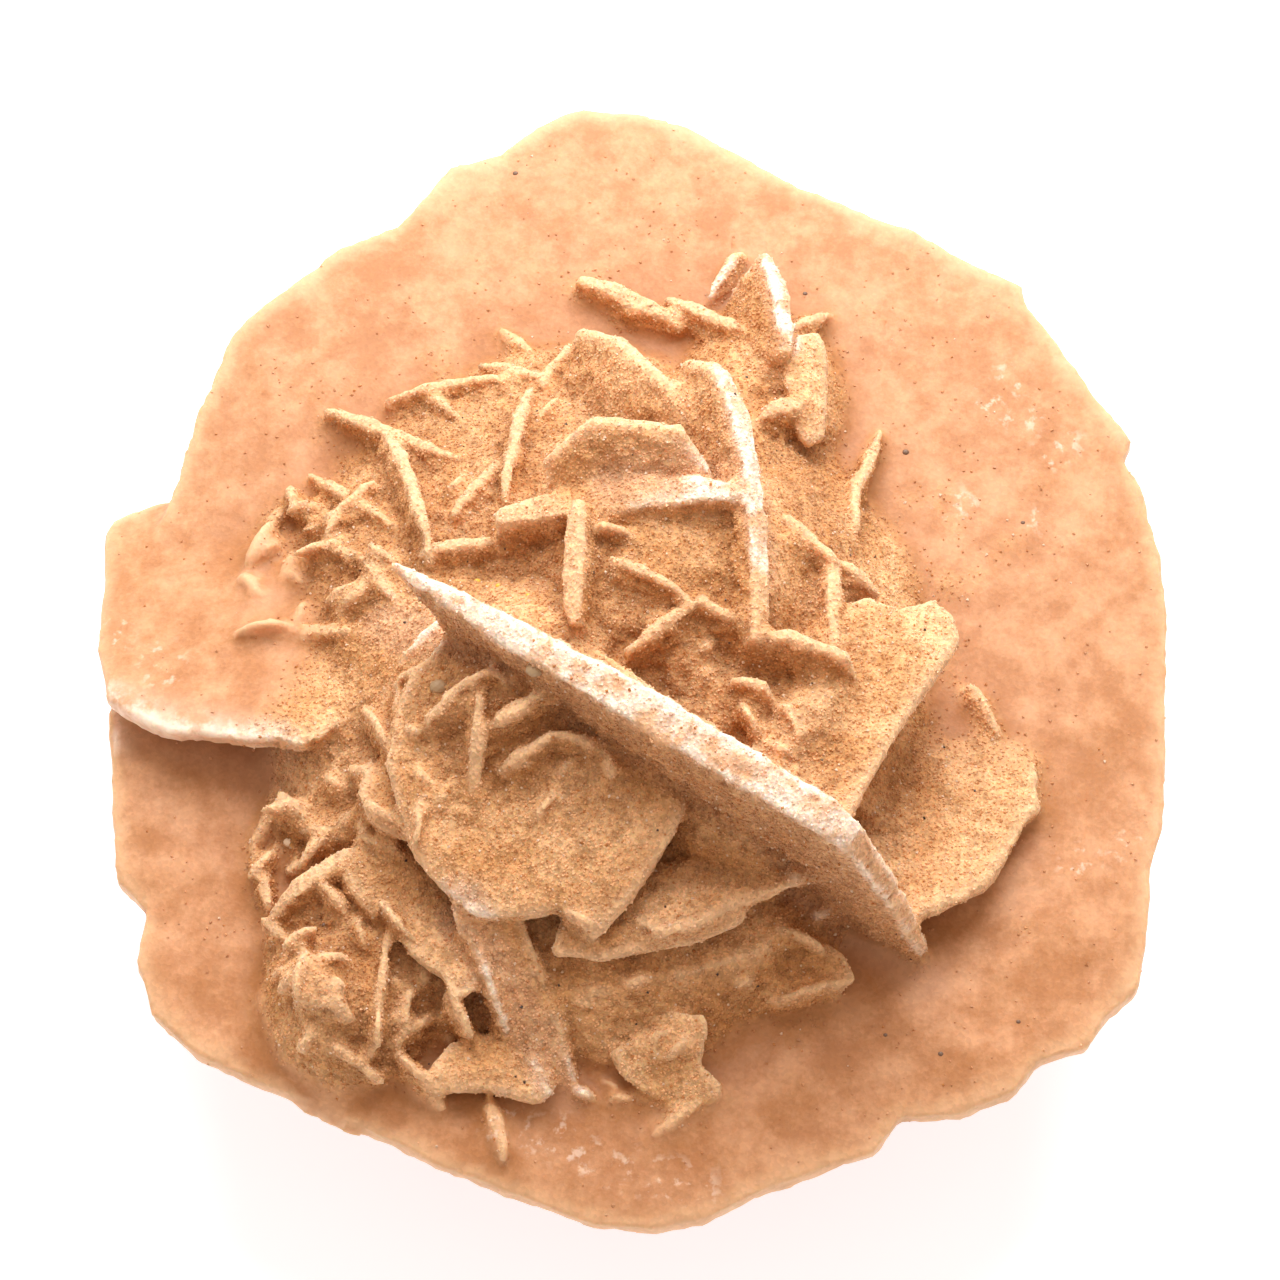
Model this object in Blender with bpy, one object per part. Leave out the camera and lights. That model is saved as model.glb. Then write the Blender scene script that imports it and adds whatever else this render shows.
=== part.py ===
"""Gypsum sand rose: one broad lens-shaped blade lying level, with a sandy mound of
smaller blades grown through it above and below.

Lengths here are in millimetres and are turned into metres as each mesh is made.
X runs east, Y runs north and Z up. The outlines and rims are laid out from the middle
of the broad blade, with heights measured from the level of its upper rim.
"""

import math
import random

import bmesh
import bpy
from mathutils import Matrix, Vector

MM = 0.001

# Driving dimensions of the broad blade and what stands on it.
BROAD_RIM_HEIGHT = 13.0  # from the resting face to the broad blade's upper rim
BROAD_THICKNESS = 2.6
BROAD_RIM = 1.1
BROAD_REACH = (24.7, 28.8)
BROAD_CROWN = (0.75, 0.35)  # its upper face's height at the middle, and the fall to the rim
PLATE_THICKNESS = 1.3
PLATE_RIM = 0.7
RIDGE_THICKNESS = 0.85
RIDGE_RIM = 0.55
RIDGE_SIDES = 7
RIDGE_ROOT = 2.8  # how far a small blade reaches down into the sand
RIDGE_END_SHARE = 0.45  # how proud its ends stand, as a share of its middle
RIDGE_END_WIDTH = 0.45  # how thick its ends are, as a share of its middle
LEAST_CROWN = 0.15
SHOULDER = 0.82  # where a blade's face turns down towards its rim, as a share of its reach
SHOULDER_FULLNESS = 0.62  # how much of the extra thickness is still there at the shoulder

# The sand that the upper blades stand in, heap by heap: middle, reach, height, fullness.
SAND_HEAPS = [
    ((-2.0, -3.2), (17.3, 20.3), 7.8, 2.6),  # the whole mound
    ((1.2, 0.5), (10.0, 10.5), 11.0, 2.8),  # behind the crest
    ((5.6, -6.8), (6.6, 5.6), 9.2, 2.6),  # under the higher eastern leaf
    ((5.8, 12.2), (5.0, 6.0), 4.4, 2.4),  # at the foot of the tall fan
    ((-4.8, -5.8), (8.8, 8.4), 11.2, 2.8),  # on the ledge
    ((0.6, -17.6), (10.2, 7.0), 5.2, 2.6),  # the southern slope
    ((-12.4, -15.4), (6.6, 8.2), 3.9, 2.6),  # the south-western nest
    ((-14.0, -18.4), (3.8, 4.8), 4.6, 2.6),  # the nest's outer end
]
SAND_DIP = ((4.8, -11.9), (4.4, 2.8), 2.2)  # middle, reach, depth: between ledge and shelf
SAND_FOOT = -0.8
SAND_ROOT = 0.6
SAND_BODIES = [  # name, middle, reach, sides, rings
    ("upper_mound", (-2.0, -3.2), (17.3, 20.3), 22, 10),
    ("nest_mound", (-12.9, -17.2), (5.8, 7.0), 14, 6),
    ("fan_mound", (5.9, 12.6), (5.2, 6.0), 12, 6),
]

# The sand below the broad blade.
ROOT_MIDDLE = (0.5, -1.0)
ROOT_REACH = (15.5, 16.5)
ROOT_DEPTH = 17.0
ROOT_FULLNESS = 1.5
ROOT_STEPS = (22, 8)

# The blades below the broad one.
ROOT_FINS = 5
ROOT_FIN_REACH = 12.5
GOLDEN_ANGLE = math.radians(137.5)

SAND_COLOUR = (0.60, 0.33, 0.16, 1.0)
SAND_ROUGHNESS = 0.9

BROAD_OUTLINE = [
    (-2.5, 28.7), (0.0, 28.4), (2.4, 27.6), (4.9, 26.2), (7.3, 24.7), (10.3, 23.2),
    (13.1, 22.1), (15.6, 20.4), (18.5, 18.9), (18.8, 17.7), (20.8, 14.8), (22.0, 12.7),
    (23.7, 10.5), (23.2, 9.4), (24.2, 7.6), (24.7, 4.9), (24.9, 1.6), (24.8, -2.6),
    (24.6, -6.0), (24.2, -9.7), (23.6, -11.8), (23.4, -15.1), (22.8, -17.6), (21.3, -18.9),
    (20.4, -20.3), (18.3, -20.9), (16.9, -22.6), (14.5, -23.5), (11.8, -23.8), (10.6, -25.4),
    (8.1, -26.2), (5.6, -27.1), (3.2, -28.5), (0.5, -29.0), (-2.3, -28.7), (-5.4, -27.5),
    (-9.1, -26.0), (-12.7, -24.1), (-16.8, -22.3), (-20.3, -20.6), (-22.4, -18.6),
    (-23.3, -16.1), (-22.8, -13.7), (-24.2, -12.1), (-24.6, -8.2), (-24.9, -4.1),
    (-24.5, -1.0), (-23.6, 1.4), (-23.3, 4.9), (-22.1, 8.4), (-21.3, 12.0), (-19.7, 16.2),
    (-17.5, 18.4), (-14.6, 21.0), (-11.7, 22.3), (-9.3, 25.4), (-6.8, 26.1), (-5.8, 27.2),
    (-3.9, 28.3),
]


def clear_scene():
    for old in list(bpy.data.objects):
        bpy.data.objects.remove(old, do_unlink=True)


def collection_named(name):
    made = bpy.data.collections.new(name)
    bpy.context.scene.collection.children.link(made)
    return made


def object_from(shape, name, collection):
    """A mesh object from a bmesh in millimetres, with its faces pointing out."""
    bmesh.ops.recalc_face_normals(shape, faces=shape.faces)
    bmesh.ops.transform(shape, matrix=Matrix.Scale(MM, 4), verts=shape.verts)
    mesh = bpy.data.meshes.new(name)
    shape.to_mesh(mesh)
    shape.free()
    made = bpy.data.objects.new(name, mesh)
    collection.objects.link(made)
    return made


def crystal(name, outline, place, thickness, rim, rings=5):
    """One lens-shaped blade: a sphere whose meridians run out to the outline's points,
    pressed flat to a blunt rim. place turns (across, up, proud) into a point. Five rings
    leave the faces flat as far as a shoulder, and three slope them straight to the rim."""
    sides = len(outline)
    shape = bmesh.new()
    bmesh.ops.create_uvsphere(shape, u_segments=sides, v_segments=rings, radius=1.0)
    middle = sum((Vector(point) for point in outline), Vector((0, 0))) / sides
    shoulder = (SHOULDER, (rim + (thickness - rim) * SHOULDER_FULLNESS) / 2)
    profile = [(0.0, thickness / 2), shoulder, (1.0, rim / 2)]
    if rings == 3:
        profile.remove(shoulder)
    profile += [(share, -proud) for share, proud in reversed(profile)]
    for vert in shape.verts:
        meridian = round(math.atan2(vert.co.y, vert.co.x) / math.tau * sides) % sides
        ring = round(math.acos(max(-1.0, min(1.0, vert.co.z))) / math.pi * rings)
        share, proud = profile[ring]
        spot = middle.lerp(Vector(outline[meridian]), share)
        vert.co = place(spot.x, spot.y, proud)
    return object_from(shape, name, crystals)


def lying(
    name, outline, level, east=0.0, north=0.0, thickness=PLATE_THICKNESS, rim=PLATE_RIM, rings=5
):
    """A blade that lies nearly level. level is its upper side's height over the middle of
    the rose, and east and north are how much it climbs for each millimetre that way."""

    def place(across, up, proud):
        height = level + east * across + north * up - rim / 2 + proud
        return Vector((across, up, BROAD_RIM_HEIGHT + height))

    return crystal(name, outline, place, thickness, rim, rings)


def standing_place(start, end, tip):
    """Turns (along the rim, up the blade, proud of it) into a point, for a blade whose rim
    runs from start to end and whose top is tipped to the left of that way by tip degrees."""
    start = Vector(start)
    along = (Vector(end) - start).normalized()
    right = along.cross(Vector((0, 0, 1))).normalized()
    upright = right.cross(along)
    tip = math.radians(tip)
    up_blade = upright * math.cos(tip) - right * math.sin(tip)
    proud_of = along.cross(up_blade)

    def place(across, up, proud):
        point = start + along * across + up_blade * up + proud_of * proud
        return point + Vector((0, 0, BROAD_RIM_HEIGHT))

    return place


def standing(name, start, end, tip, outline, thickness, rim):
    """A blade that stands, with its outline given along and above its rim's chord."""
    return crystal(name, outline, standing_place(start, end, tip), thickness, rim)


def rounded_rim(name, start, end, tip, crown, depth, thickness, rim, rings):
    """A standing blade with a rounded outline that rises by crown over the chord from start
    to end and goes down by depth under it."""
    half = (Vector(end) - Vector(start)).length / 2
    upright = standing_place(start, end, tip)

    def place(across, up, proud):
        inward = min(across, 2 * half - across) / half
        return upright(across, up, proud * min(1.0, RIDGE_END_WIDTH + inward))

    outline = []
    for corner in range(RIDGE_SIDES):
        angle = math.tau * corner / RIDGE_SIDES
        swell = 1 + chance.uniform(-0.06, 0.06)
        across = half + half * math.copysign(abs(math.cos(angle)) ** 0.8, math.cos(angle))
        reach = crown if math.sin(angle) > 0 else depth
        outline.append((across, reach * swell * math.sin(angle)))
    crystal(name, outline, place, thickness, rim, rings)


def wide_ridge(name, start, end, tip, crown, depth, thickness, rim):
    """A standing blade large enough to show the flat of its face."""
    rounded_rim(name, start, end, tip, crown, depth, thickness, rim, rings=5)


def ridge(name, start, end, tip, proud, thickness=RIDGE_THICKNESS, rim=RIDGE_RIM):
    """A blade sunk in the sand, of which only the rim shows, by proud at its middle."""
    ends = [(*spot, ground_height(*spot) + RIDGE_END_SHARE * proud) for spot in (start, end)]
    middle = (Vector(start) + Vector(end)) / 2
    chord = (ends[0][2] + ends[1][2]) / 2
    crown = max(LEAST_CROWN, ground_height(*middle) + proud - chord)
    rounded_rim(name, *ends, tip, crown, RIDGE_ROOT, thickness, rim, rings=3)


def sand_height(east, north):
    """How high the sand is heaped over a spot of the broad blade, from its rim's level."""
    highest = SAND_FOOT
    for (middle_east, middle_north), (reach_east, reach_north), height, fullness in SAND_HEAPS:
        share = math.hypot((east - middle_east) / reach_east, (north - middle_north) / reach_north)
        highest = max(highest, SAND_FOOT + height * (1 - min(share, 1.0) ** fullness))
    (dip_east, dip_north), (reach_east, reach_north), depth = SAND_DIP
    share = math.hypot((east - dip_east) / reach_east, (north - dip_north) / reach_north)
    return highest - depth * (1 - min(share, 1.0) ** 2)


def ground_height(east, north):
    """The sand's height, or the broad blade's upper face where that is higher."""
    share = min(1.0, math.hypot(east / BROAD_REACH[0], north / BROAD_REACH[1]))
    return max(sand_height(east, north), BROAD_CROWN[0] - BROAD_CROWN[1] * share)


def upper_sand():
    """The sand that holds the upper blades: spheres pressed onto the heaps' heights."""
    for name, (middle_east, middle_north), (reach_east, reach_north), sides, rings in SAND_BODIES:
        shape = bmesh.new()
        bmesh.ops.create_uvsphere(shape, u_segments=sides, v_segments=rings, radius=1.0)
        for vert in shape.verts:
            share = math.acos(abs(vert.co.z)) / (math.pi / 2)
            spread = share / max(math.hypot(vert.co.x, vert.co.y), 1e-6)
            spread *= chance.uniform(0.96, 1.04)
            east = middle_east + vert.co.x * spread * reach_east
            north = middle_north + vert.co.y * spread * reach_north
            height = SAND_FOOT - SAND_ROOT * (1 - share)
            if vert.co.z > 0.01:
                height = sand_height(east, north) + chance.uniform(-0.25, 0.25)
            vert.co = (east, north, BROAD_RIM_HEIGHT + height)
        object_from(shape, name, crystals)


def root_mound():
    """The sand below the broad blade, which narrows to the patch that the rose rests on."""
    sides, rings = ROOT_STEPS
    shape = bmesh.new()
    bmesh.ops.create_uvsphere(shape, u_segments=sides, v_segments=rings, radius=1.0)
    for vert in shape.verts:
        swell = chance.uniform(0.94, 1.06)
        fall = 1 - min(math.hypot(vert.co.x, vert.co.y), 1.0) ** ROOT_FULLNESS
        depth = ROOT_DEPTH if vert.co.z < 0 else -0.5
        vert.co = (
            ROOT_MIDDLE[0] + vert.co.x * ROOT_REACH[0] * swell,
            ROOT_MIDDLE[1] + vert.co.y * ROOT_REACH[1] * swell,
            BROAD_RIM_HEIGHT - 1.0 - depth * fall * swell,
        )
    object_from(shape, "root_mound", crystals)


def broad_blade():
    """The one broad blade that carries the rest, a shallow lens with a worn, notched rim."""
    return lying("broad_blade", BROAD_OUTLINE, 0.0, thickness=BROAD_THICKNESS, rim=BROAD_RIM)


def crest_blade():
    """The tallest blade, whose straight rim crosses the rose from a thin point in the
    north-west and drops to the broad blade in the south-east."""
    outline = [
        (0.0, 0.0), (1.5, 0.3), (6.0, 0.6), (12.0, 0.7), (18.0, 0.5), (23.0, 0.3), (24.6, -0.6),
        (26.0, -3.6), (27.4, -7.4), (28.6, -11.9), (26.0, -13.0), (14.0, -13.4), (6.5, -12.4),
        (4.2, -5.0), (1.8, -1.3),
    ]
    upright = standing_place((-11.4, -1.7, 12.4), (9.1, -14.6, 12.4), -4)

    def place(across, up, proud):
        taper = min(1.0, 0.2 + across / 11, 0.4 + (28.6 - across) / 9)
        return upright(across, up, proud * taper)

    crystal("crest", outline, place, 2.3, 1.7)


def west_blade():
    """A broad blade that crosses the rim of the main one, raised on its southern side."""
    outline = [
        (-25.6, 6.0), (-25.2, 6.9), (-24.2, 7.4), (-22.8, 7.8), (-18.7, 7.5), (-14.3, 4.5),
        (-11.8, -1.0), (-12.0, -4.0), (-12.7, -5.1), (-13.6, -6.0), (-14.7, -6.9), (-15.6, -7.4),
        (-16.4, -7.0), (-17.9, -6.8), (-20.0, -6.4), (-21.9, -6.0), (-23.6, -5.0), (-24.8, -3.9),
        (-25.4, -1.0), (-25.4, 2.0),
    ]
    lying("west_blade", outline, 4.65, east=0.15, north=-0.30, thickness=1.7, rim=1.0)


def shelves():
    """The blades that lie one over the other on the south side, and the sand-filled ledge."""
    ledge = [
        (-10.6, -12.8), (-9.9, -14.0), (-8.8, -15.3), (-7.3, -16.5), (-5.2, -16.5), (-2.6, -16.1),
        (-1.8, -17.4), (-0.8, -16.4), (0.3, -15.0), (1.5, -13.2), (2.4, -11.1), (3.1, -9.8),
        (0.5, -6.4), (-3.6, -3.6), (-7.8, -2.9), (-10.5, -5.5), (-11.5, -9.3),
    ]
    lying("ledge", ledge, 10.9, east=0.10, north=0.22, thickness=1.4, rim=0.8)
    upper_shelf = [
        (9.4, -13.8), (6.3, -15.1), (4.5, -15.9), (2.7, -17.0), (0.9, -17.5), (-0.2, -16.6),
        (0.0, -13.4), (2.7, -11.4), (6.0, -11.2), (8.8, -12.0),
    ]
    lying("upper_shelf", upper_shelf, -1.2, east=0.12, north=-0.45)
    lower_shelf = [
        (4.9, -16.0), (4.3, -16.6), (2.2, -17.4), (0.0, -17.7), (-1.8, -18.1), (-4.1, -17.8),
        (-3.6, -16.2), (-0.9, -13.5), (3.4, -13.5),
    ]
    lying("lower_shelf", lower_shelf, 5.9, east=0.03, north=0.02, thickness=1.1, rim=0.6)
    keel = [
        (-8.5, -15.3), (-8.3, -16.5), (-7.8, -17.4), (-7.1, -18.9), (-6.8, -19.5), (-6.3, -21.0),
        (-5.4, -21.8), (-3.9, -22.7), (-2.8, -22.5), (-3.4, -20.4), (-4.6, -17.6), (-6.0, -14.8),
    ]
    lying("keel", keel, 18.5, north=0.78, thickness=1.5, rim=1.1)


def east_leaves():
    """Two blades that fan out to the east, one high and one lying on the main blade."""
    high = [
        (13.6, -0.5), (14.4, -1.3), (14.7, -2.7), (13.4, -4.9), (12.1, -7.2), (10.9, -9.4),
        (9.7, -11.8), (9.3, -12.9), (6.6, -12.3), (5.0, -9.0), (5.9, -4.0), (8.7, -1.4),
        (10.5, -0.5), (12.0, -1.1),
    ]
    lying("east_fan", high, 7.4, east=-0.12, north=-0.16)
    low = [
        (17.9, -5.9), (18.4, -6.6), (18.6, -7.4), (18.4, -8.3), (18.6, -9.2), (17.7, -10.1),
        (17.1, -11.4), (16.0, -13.4), (14.6, -14.4), (13.2, -15.1), (12.0, -15.8), (10.4, -13.3),
        (9.6, -10.0), (10.5, -6.0), (12.4, -3.4), (14.5, -2.8), (16.4, -4.2),
    ]
    lying("east_leaf", low, -0.8, north=-0.28, thickness=1.4, rim=0.9)


def tall_fan():
    """The fan north of the crest, with one long rim that arches from north to south."""
    rim_line = [
        (0.0, 0.0), (1.2, 0.9), (3.2, 1.5), (6.0, 1.7), (9.5, 1.3), (12.0, 0.8), (14.6, 0.0),
    ]
    buried = [(13.6, -3.0), (10.0, -5.4), (4.0, -5.6), (0.5, -4.4), (-1.0, -1.6)]
    outline = rim_line + buried
    standing("tall_fan", (3.4, 9.9, 9.3), (5.5, -4.6, 9.7), 32, outline, 1.3, 0.9)


def north_blades():
    """Walls and fins on the side away from the crest, from the tallest outwards."""
    wide_ridge("north_wall", (-7.2, 2.2, 8.2), (5.0, 2.6, 10.8), 8, 1.1, 5.0, 2.0, 1.6)
    wide_ridge("north_hood", (-4.6, 3.6, 9.0), (3.4, 3.8, 10.2), 46, 3.2, 4.0, 1.3, 0.8)
    wide_ridge("inner_wall", (-2.8, 2.4, 11.0), (-3.1, -4.2, 10.7), -24, 0.3, 3.5, 1.2, 0.9)
    wide_ridge("tilted_fan", (-3.3, 14.0, 4.0), (2.3, 7.4, 8.4), 46, 1.4, 6.5, 1.2, 0.7)
    wide_ridge("cone_east", (5.9, 19.1, 3.0), (7.0, 12.6, 5.0), 32, 0.7, 5.4, 1.3, 0.9)
    ridge("cone_west", (3.3, 17.2), (5.1, 20.2), 24, 1.2, 0.9, 0.6)
    ridge("fin_a", (-12.6, 11.9), (-6.0, 12.2), 14, 1.0, 0.9, 0.6)
    ridge("fin_b", (-7.9, 13.7), (-4.2, 11.6), 10, 0.8)
    ridge("fin_c", (-4.8, 11.2), (-3.0, 14.8), 10, 0.8)
    ridge("fin_d", (-15.4, 11.9), (-8.4, 7.0), 10, 1.0, 1.0, 0.7)
    ridge("fin_e", (-12.3, 9.9), (-9.5, 0.9), 12, 1.5, 1.0, 0.7)
    ridge("fin_f", (-5.1, 11.3), (-6.3, 4.0), -14, 1.1, 1.1, 0.7)
    ridge("fin_g", (-16.0, 8.3), (-11.4, 3.7), 12, 0.8)
    ridge("fin_h", (-8.9, 3.3), (-6.2, 6.8), 24, 0.8)
    ridge("fin_i", (-10.4, 1.5), (-5.8, 1.6), 20, 1.1, 1.1, 0.7)
    ridge("fin_j", (-3.2, 18.5), (2.2, 15.7), 10, 1.5, 1.2, 0.9)
    ridge("fin_k", (1.0, 17.6), (4.9, 14.8), 10, 1.3, 1.0, 0.7)
    ridge("fin_l", (7.3, 15.4), (9.4, 16.9), 12, 0.8)
    slab = [
        (7.5, 14.4), (8.5, 14.6), (8.9, 13.8), (9.0, 11.5), (8.8, 9.1), (7.9, 8.4), (7.0, 9.8),
        (6.8, 12.0),
    ]
    lying("fan_slab", slab, 6.5, east=-0.36, thickness=1.2, rings=3)
    ridge("fin_n", (5.4, 9.3), (7.9, 10.4), 20, 1.7, 1.2, 0.9)
    ridge("fin_o", (11.6, 10.8), (10.0, 5.8), 12, 0.8)
    ridge("fin_p", (10.0, 7.8), (10.2, 3.9), 12, 0.8)
    ridge("stray_fin", (-6.8, 16.2), (-5.1, 14.4), 8, 0.5)


def east_blades():
    """The steps that come down from the tall fan, and the low walls behind the crest."""
    wide_ridge("step_a", (5.2, 3.4, 7.6), (9.3, 0.8, 6.6), 30, 0.6, 5.0, 1.0, 0.7)
    wide_ridge("step_b", (8.9, 1.4, 6.6), (8.9, -3.9, 7.4), 26, 0.3, 4.6, 1.0, 0.7)
    wide_ridge("arc_blade", (4.1, -4.3, 8.6), (10.0, -5.4, 7.4), 20, 2.0, 4.0, 1.0, 0.7)
    ridge("step_c", (8.8, 1.6), (11.2, 0.3), 22, 1.6, 1.0, 0.7)
    ridge("hollow_a", (3.9, -5.9), (6.0, -6.6), 20, 0.9)
    ridge("hollow_b", (6.2, -6.9), (7.7, -9.8), 14, 1.1)
    ridge("floor_a", (-0.9, -5.1), (3.1, -2.2), 12, 0.8)
    ridge("floor_b", (2.6, -2.5), (5.2, -3.9), 12, 0.8)
    ridge("floor_c", (-1.6, -0.5), (2.5, -2.7), 12, 0.8)
    ridge("leaf_fin", (15.2, -2.6), (16.8, -5.7), 40, 1.0)


def ledge_blades():
    """The low walls on the sand-filled ledge south-west of the crest."""
    ridge("wall_a", (-8.8, -2.3), (-11.2, -4.4), 6, 0.8)
    ridge("wall_b", (-11.0, -3.9), (-11.9, -6.5), 6, 0.8)
    ridge("wall_c", (-11.8, -6.0), (-10.2, -9.4), 6, 0.8)
    ridge("wall_f", (-9.9, -8.7), (-6.5, -6.2), 16, 1.0)
    ridge("wall_g", (-7.4, -3.5), (-4.1, -7.8), 10, 0.8)
    ridge("wall_h", (-7.1, -9.0), (-4.0, -7.3), 14, 0.8)
    ridge("wall_i", (-7.2, -7.0), (-7.6, -12.1), 4, 1.2, 1.0, 0.7)
    ridge("wall_j", (-6.4, -10.4), (-3.2, -8.9), 14, 0.8)
    ridge("wall_k", (-3.8, -9.0), (-1.0, -9.7), 12, 0.8)
    ridge("wall_l", (-4.6, -11.8), (-2.9, -9.7), 10, 0.8)


def west_blades():
    """Low fins between the west blade and the crest."""
    ridge("low_a", (-19.5, -0.2), (-13.4, -1.5), 8, 0.9, 1.0, 0.8)
    ridge("low_b", (-18.9, 3.4), (-16.5, 5.0), 8, 0.8)
    ridge("low_c", (-18.0, 0.7), (-16.9, 2.5), 8, 0.8)
    ridge("low_d", (-17.9, 5.5), (-15.9, 6.9), 10, 0.8)
    ridge("low_e", (-16.4, 6.8), (-13.9, 3.2), 10, 0.8)
    ridge("low_f", (-14.8, 0.2), (-12.2, 1.0), 12, 0.8)
    ridge("low_g", (-13.1, 2.5), (-11.1, -1.0), 8, 0.8)
    ridge("low_h", (-15.9, 3.2), (-13.1, 2.6), 14, 0.8)


def south_west_blades():
    """The crowded nest of thin blades on the low side of the mound."""
    ridge("nest_a", (-16.8, -9.0), (-18.0, -11.1), 6, 0.8)
    ridge("nest_b", (-17.9, -10.6), (-17.0, -14.3), 6, 0.8)
    ridge("nest_c", (-17.4, -9.1), (-13.9, -11.1), 12, 0.8)
    ridge("nest_d", (-14.5, -11.0), (-11.3, -10.2), 12, 0.8)
    ridge("nest_e", (-15.4, -11.7), (-11.8, -10.9), 14, 0.8)
    ridge("nest_f", (-16.9, -15.1), (-12.4, -12.0), 16, 1.3, 1.2, 0.9)
    ridge("nest_g", (-11.5, -15.9), (-12.5, -22.2), 10, 0.9)
    ridge("nest_h", (-17.4, -14.7), (-16.0, -16.3), 10, 0.8)
    ridge("nest_i", (-15.7, -16.2), (-14.8, -17.9), 8, 0.8)
    ridge("nest_j", (-13.9, -21.2), (-12.1, -22.5), 12, 0.8)
    ridge("nest_k", (-6.9, -22.8), (-6.1, -26.1), 8, 0.6)
    ridge("nest_l", (-8.8, -18.8), (-7.4, -20.6), 14, 0.8)
    ridge("nest_m", (-16.4, -18.8), (-13.8, -18.4), 12, 0.8)
    ridge("nest_n", (-15.2, -17.8), (-13.1, -17.5), 10, 0.8)
    ridge("nest_o", (-10.4, -18.4), (-11.1, -21.3), 14, 0.8)
    ridge("nest_p", (-15.8, -19.4), (-13.0, -20.1), 12, 0.8)
    ridge("nest_r", (-11.1, -21.6), (-8.8, -23.6), 10, 0.8)
    step = [
        (-12.8, -10.1), (-12.4, -11.4), (-11.5, -12.1), (-10.4, -12.5), (-8.6, -11.1),
        (-9.2, -8.6), (-11.6, -8.3),
    ]
    lying("nest_step", step, 6.0, thickness=1.1, rings=3)
    upper = [
        (-13.7, -13.2), (-13.1, -14.4), (-12.0, -15.6), (-10.4, -15.5), (-8.5, -15.4),
        (-8.1, -13.9), (-9.6, -11.9), (-11.8, -11.6),
    ]
    lying("nest_upper", upper, 4.8, north=0.05, thickness=1.1, rings=3)
    middle = [
        (-11.4, -16.0), (-10.3, -17.5), (-9.0, -18.4), (-8.5, -19.6), (-7.8, -19.4), (-7.3, -18.8),
        (-7.2, -17.0), (-8.0, -14.9), (-9.9, -14.7),
    ]
    lying("nest_middle", middle, 4.2, thickness=1.1, rings=3)
    low = [
        (-10.1, -22.6), (-9.5, -22.9), (-8.1, -23.1), (-6.7, -23.0), (-4.7, -23.6), (-3.8, -23.1),
        (-5.3, -21.3), (-6.7, -20.4), (-8.7, -20.9),
    ]
    lying("nest_low", low, 5.2, north=0.15, thickness=1.0, rings=3)


def south_blades():
    """Small leaves half buried in the sandy slope."""
    first = [
        (-1.5, -21.3), (-0.7, -22.3), (0.3, -23.1), (1.3, -23.4), (2.5, -23.6), (3.6, -23.2),
        (3.7, -22.6), (2.5, -21.6), (0.3, -20.6),
    ]
    lying("slope_leaf", first, 12.8, north=0.5, thickness=1.0, rings=3)
    second = [
        (0.1, -22.4), (1.1, -23.2), (2.2, -22.8), (2.8, -21.6), (3.1, -20.6), (3.0, -20.0),
        (1.5, -19.8), (0.0, -21.0),
    ]
    lying("slope_tip", second, 16.6, east=0.3, north=0.7, thickness=0.9, rim=0.6, rings=3)
    third = [
        (5.8, -18.9), (6.6, -19.0), (7.5, -18.5), (8.6, -18.2), (9.9, -17.8), (9.4, -16.6),
        (7.6, -15.4), (5.2, -16.0), (4.6, -17.8),
    ]
    lying("slope_edge", third, 5.0, north=0.17, thickness=0.9, rim=0.6, rings=3)
    finger = [
        (5.5, -15.8), (6.3, -16.7), (7.2, -17.4), (8.2, -17.6), (8.7, -17.0), (8.5, -16.2),
        (7.0, -14.2), (5.9, -14.0),
    ]
    lying("finger", finger, 7.6, north=0.2, rings=3)
    ridge("slope_fin", (0.4, -24.9), (2.6, -23.4), 10, 0.5)
    ridge("slope_back", (7.8, -15.1), (10.0, -13.9), 10, 0.9)


def root_petal(name, centre, strike, dip, half_length, half_height, thickness=2.2, rim=0.8, sides=9):
    """A large blade below, given by its middle, the way its rim runs, its dip and halves."""
    strike = math.radians(strike)
    along = Vector((math.cos(strike), math.sin(strike), 0.0))
    middle = Vector(centre) - Vector((0, 0, BROAD_RIM_HEIGHT))
    outline = []
    for corner in range(sides):
        angle = math.tau * corner / sides
        swell = 1 + chance.uniform(-0.05, 0.05)
        outline.append((
            swell * half_length * math.cos(angle),
            swell * half_height * math.sin(angle),
        ))
    place = standing_place(middle, middle + along, 90 - dip)
    crystal(name, outline, place, thickness, rim, rings=3)


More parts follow.
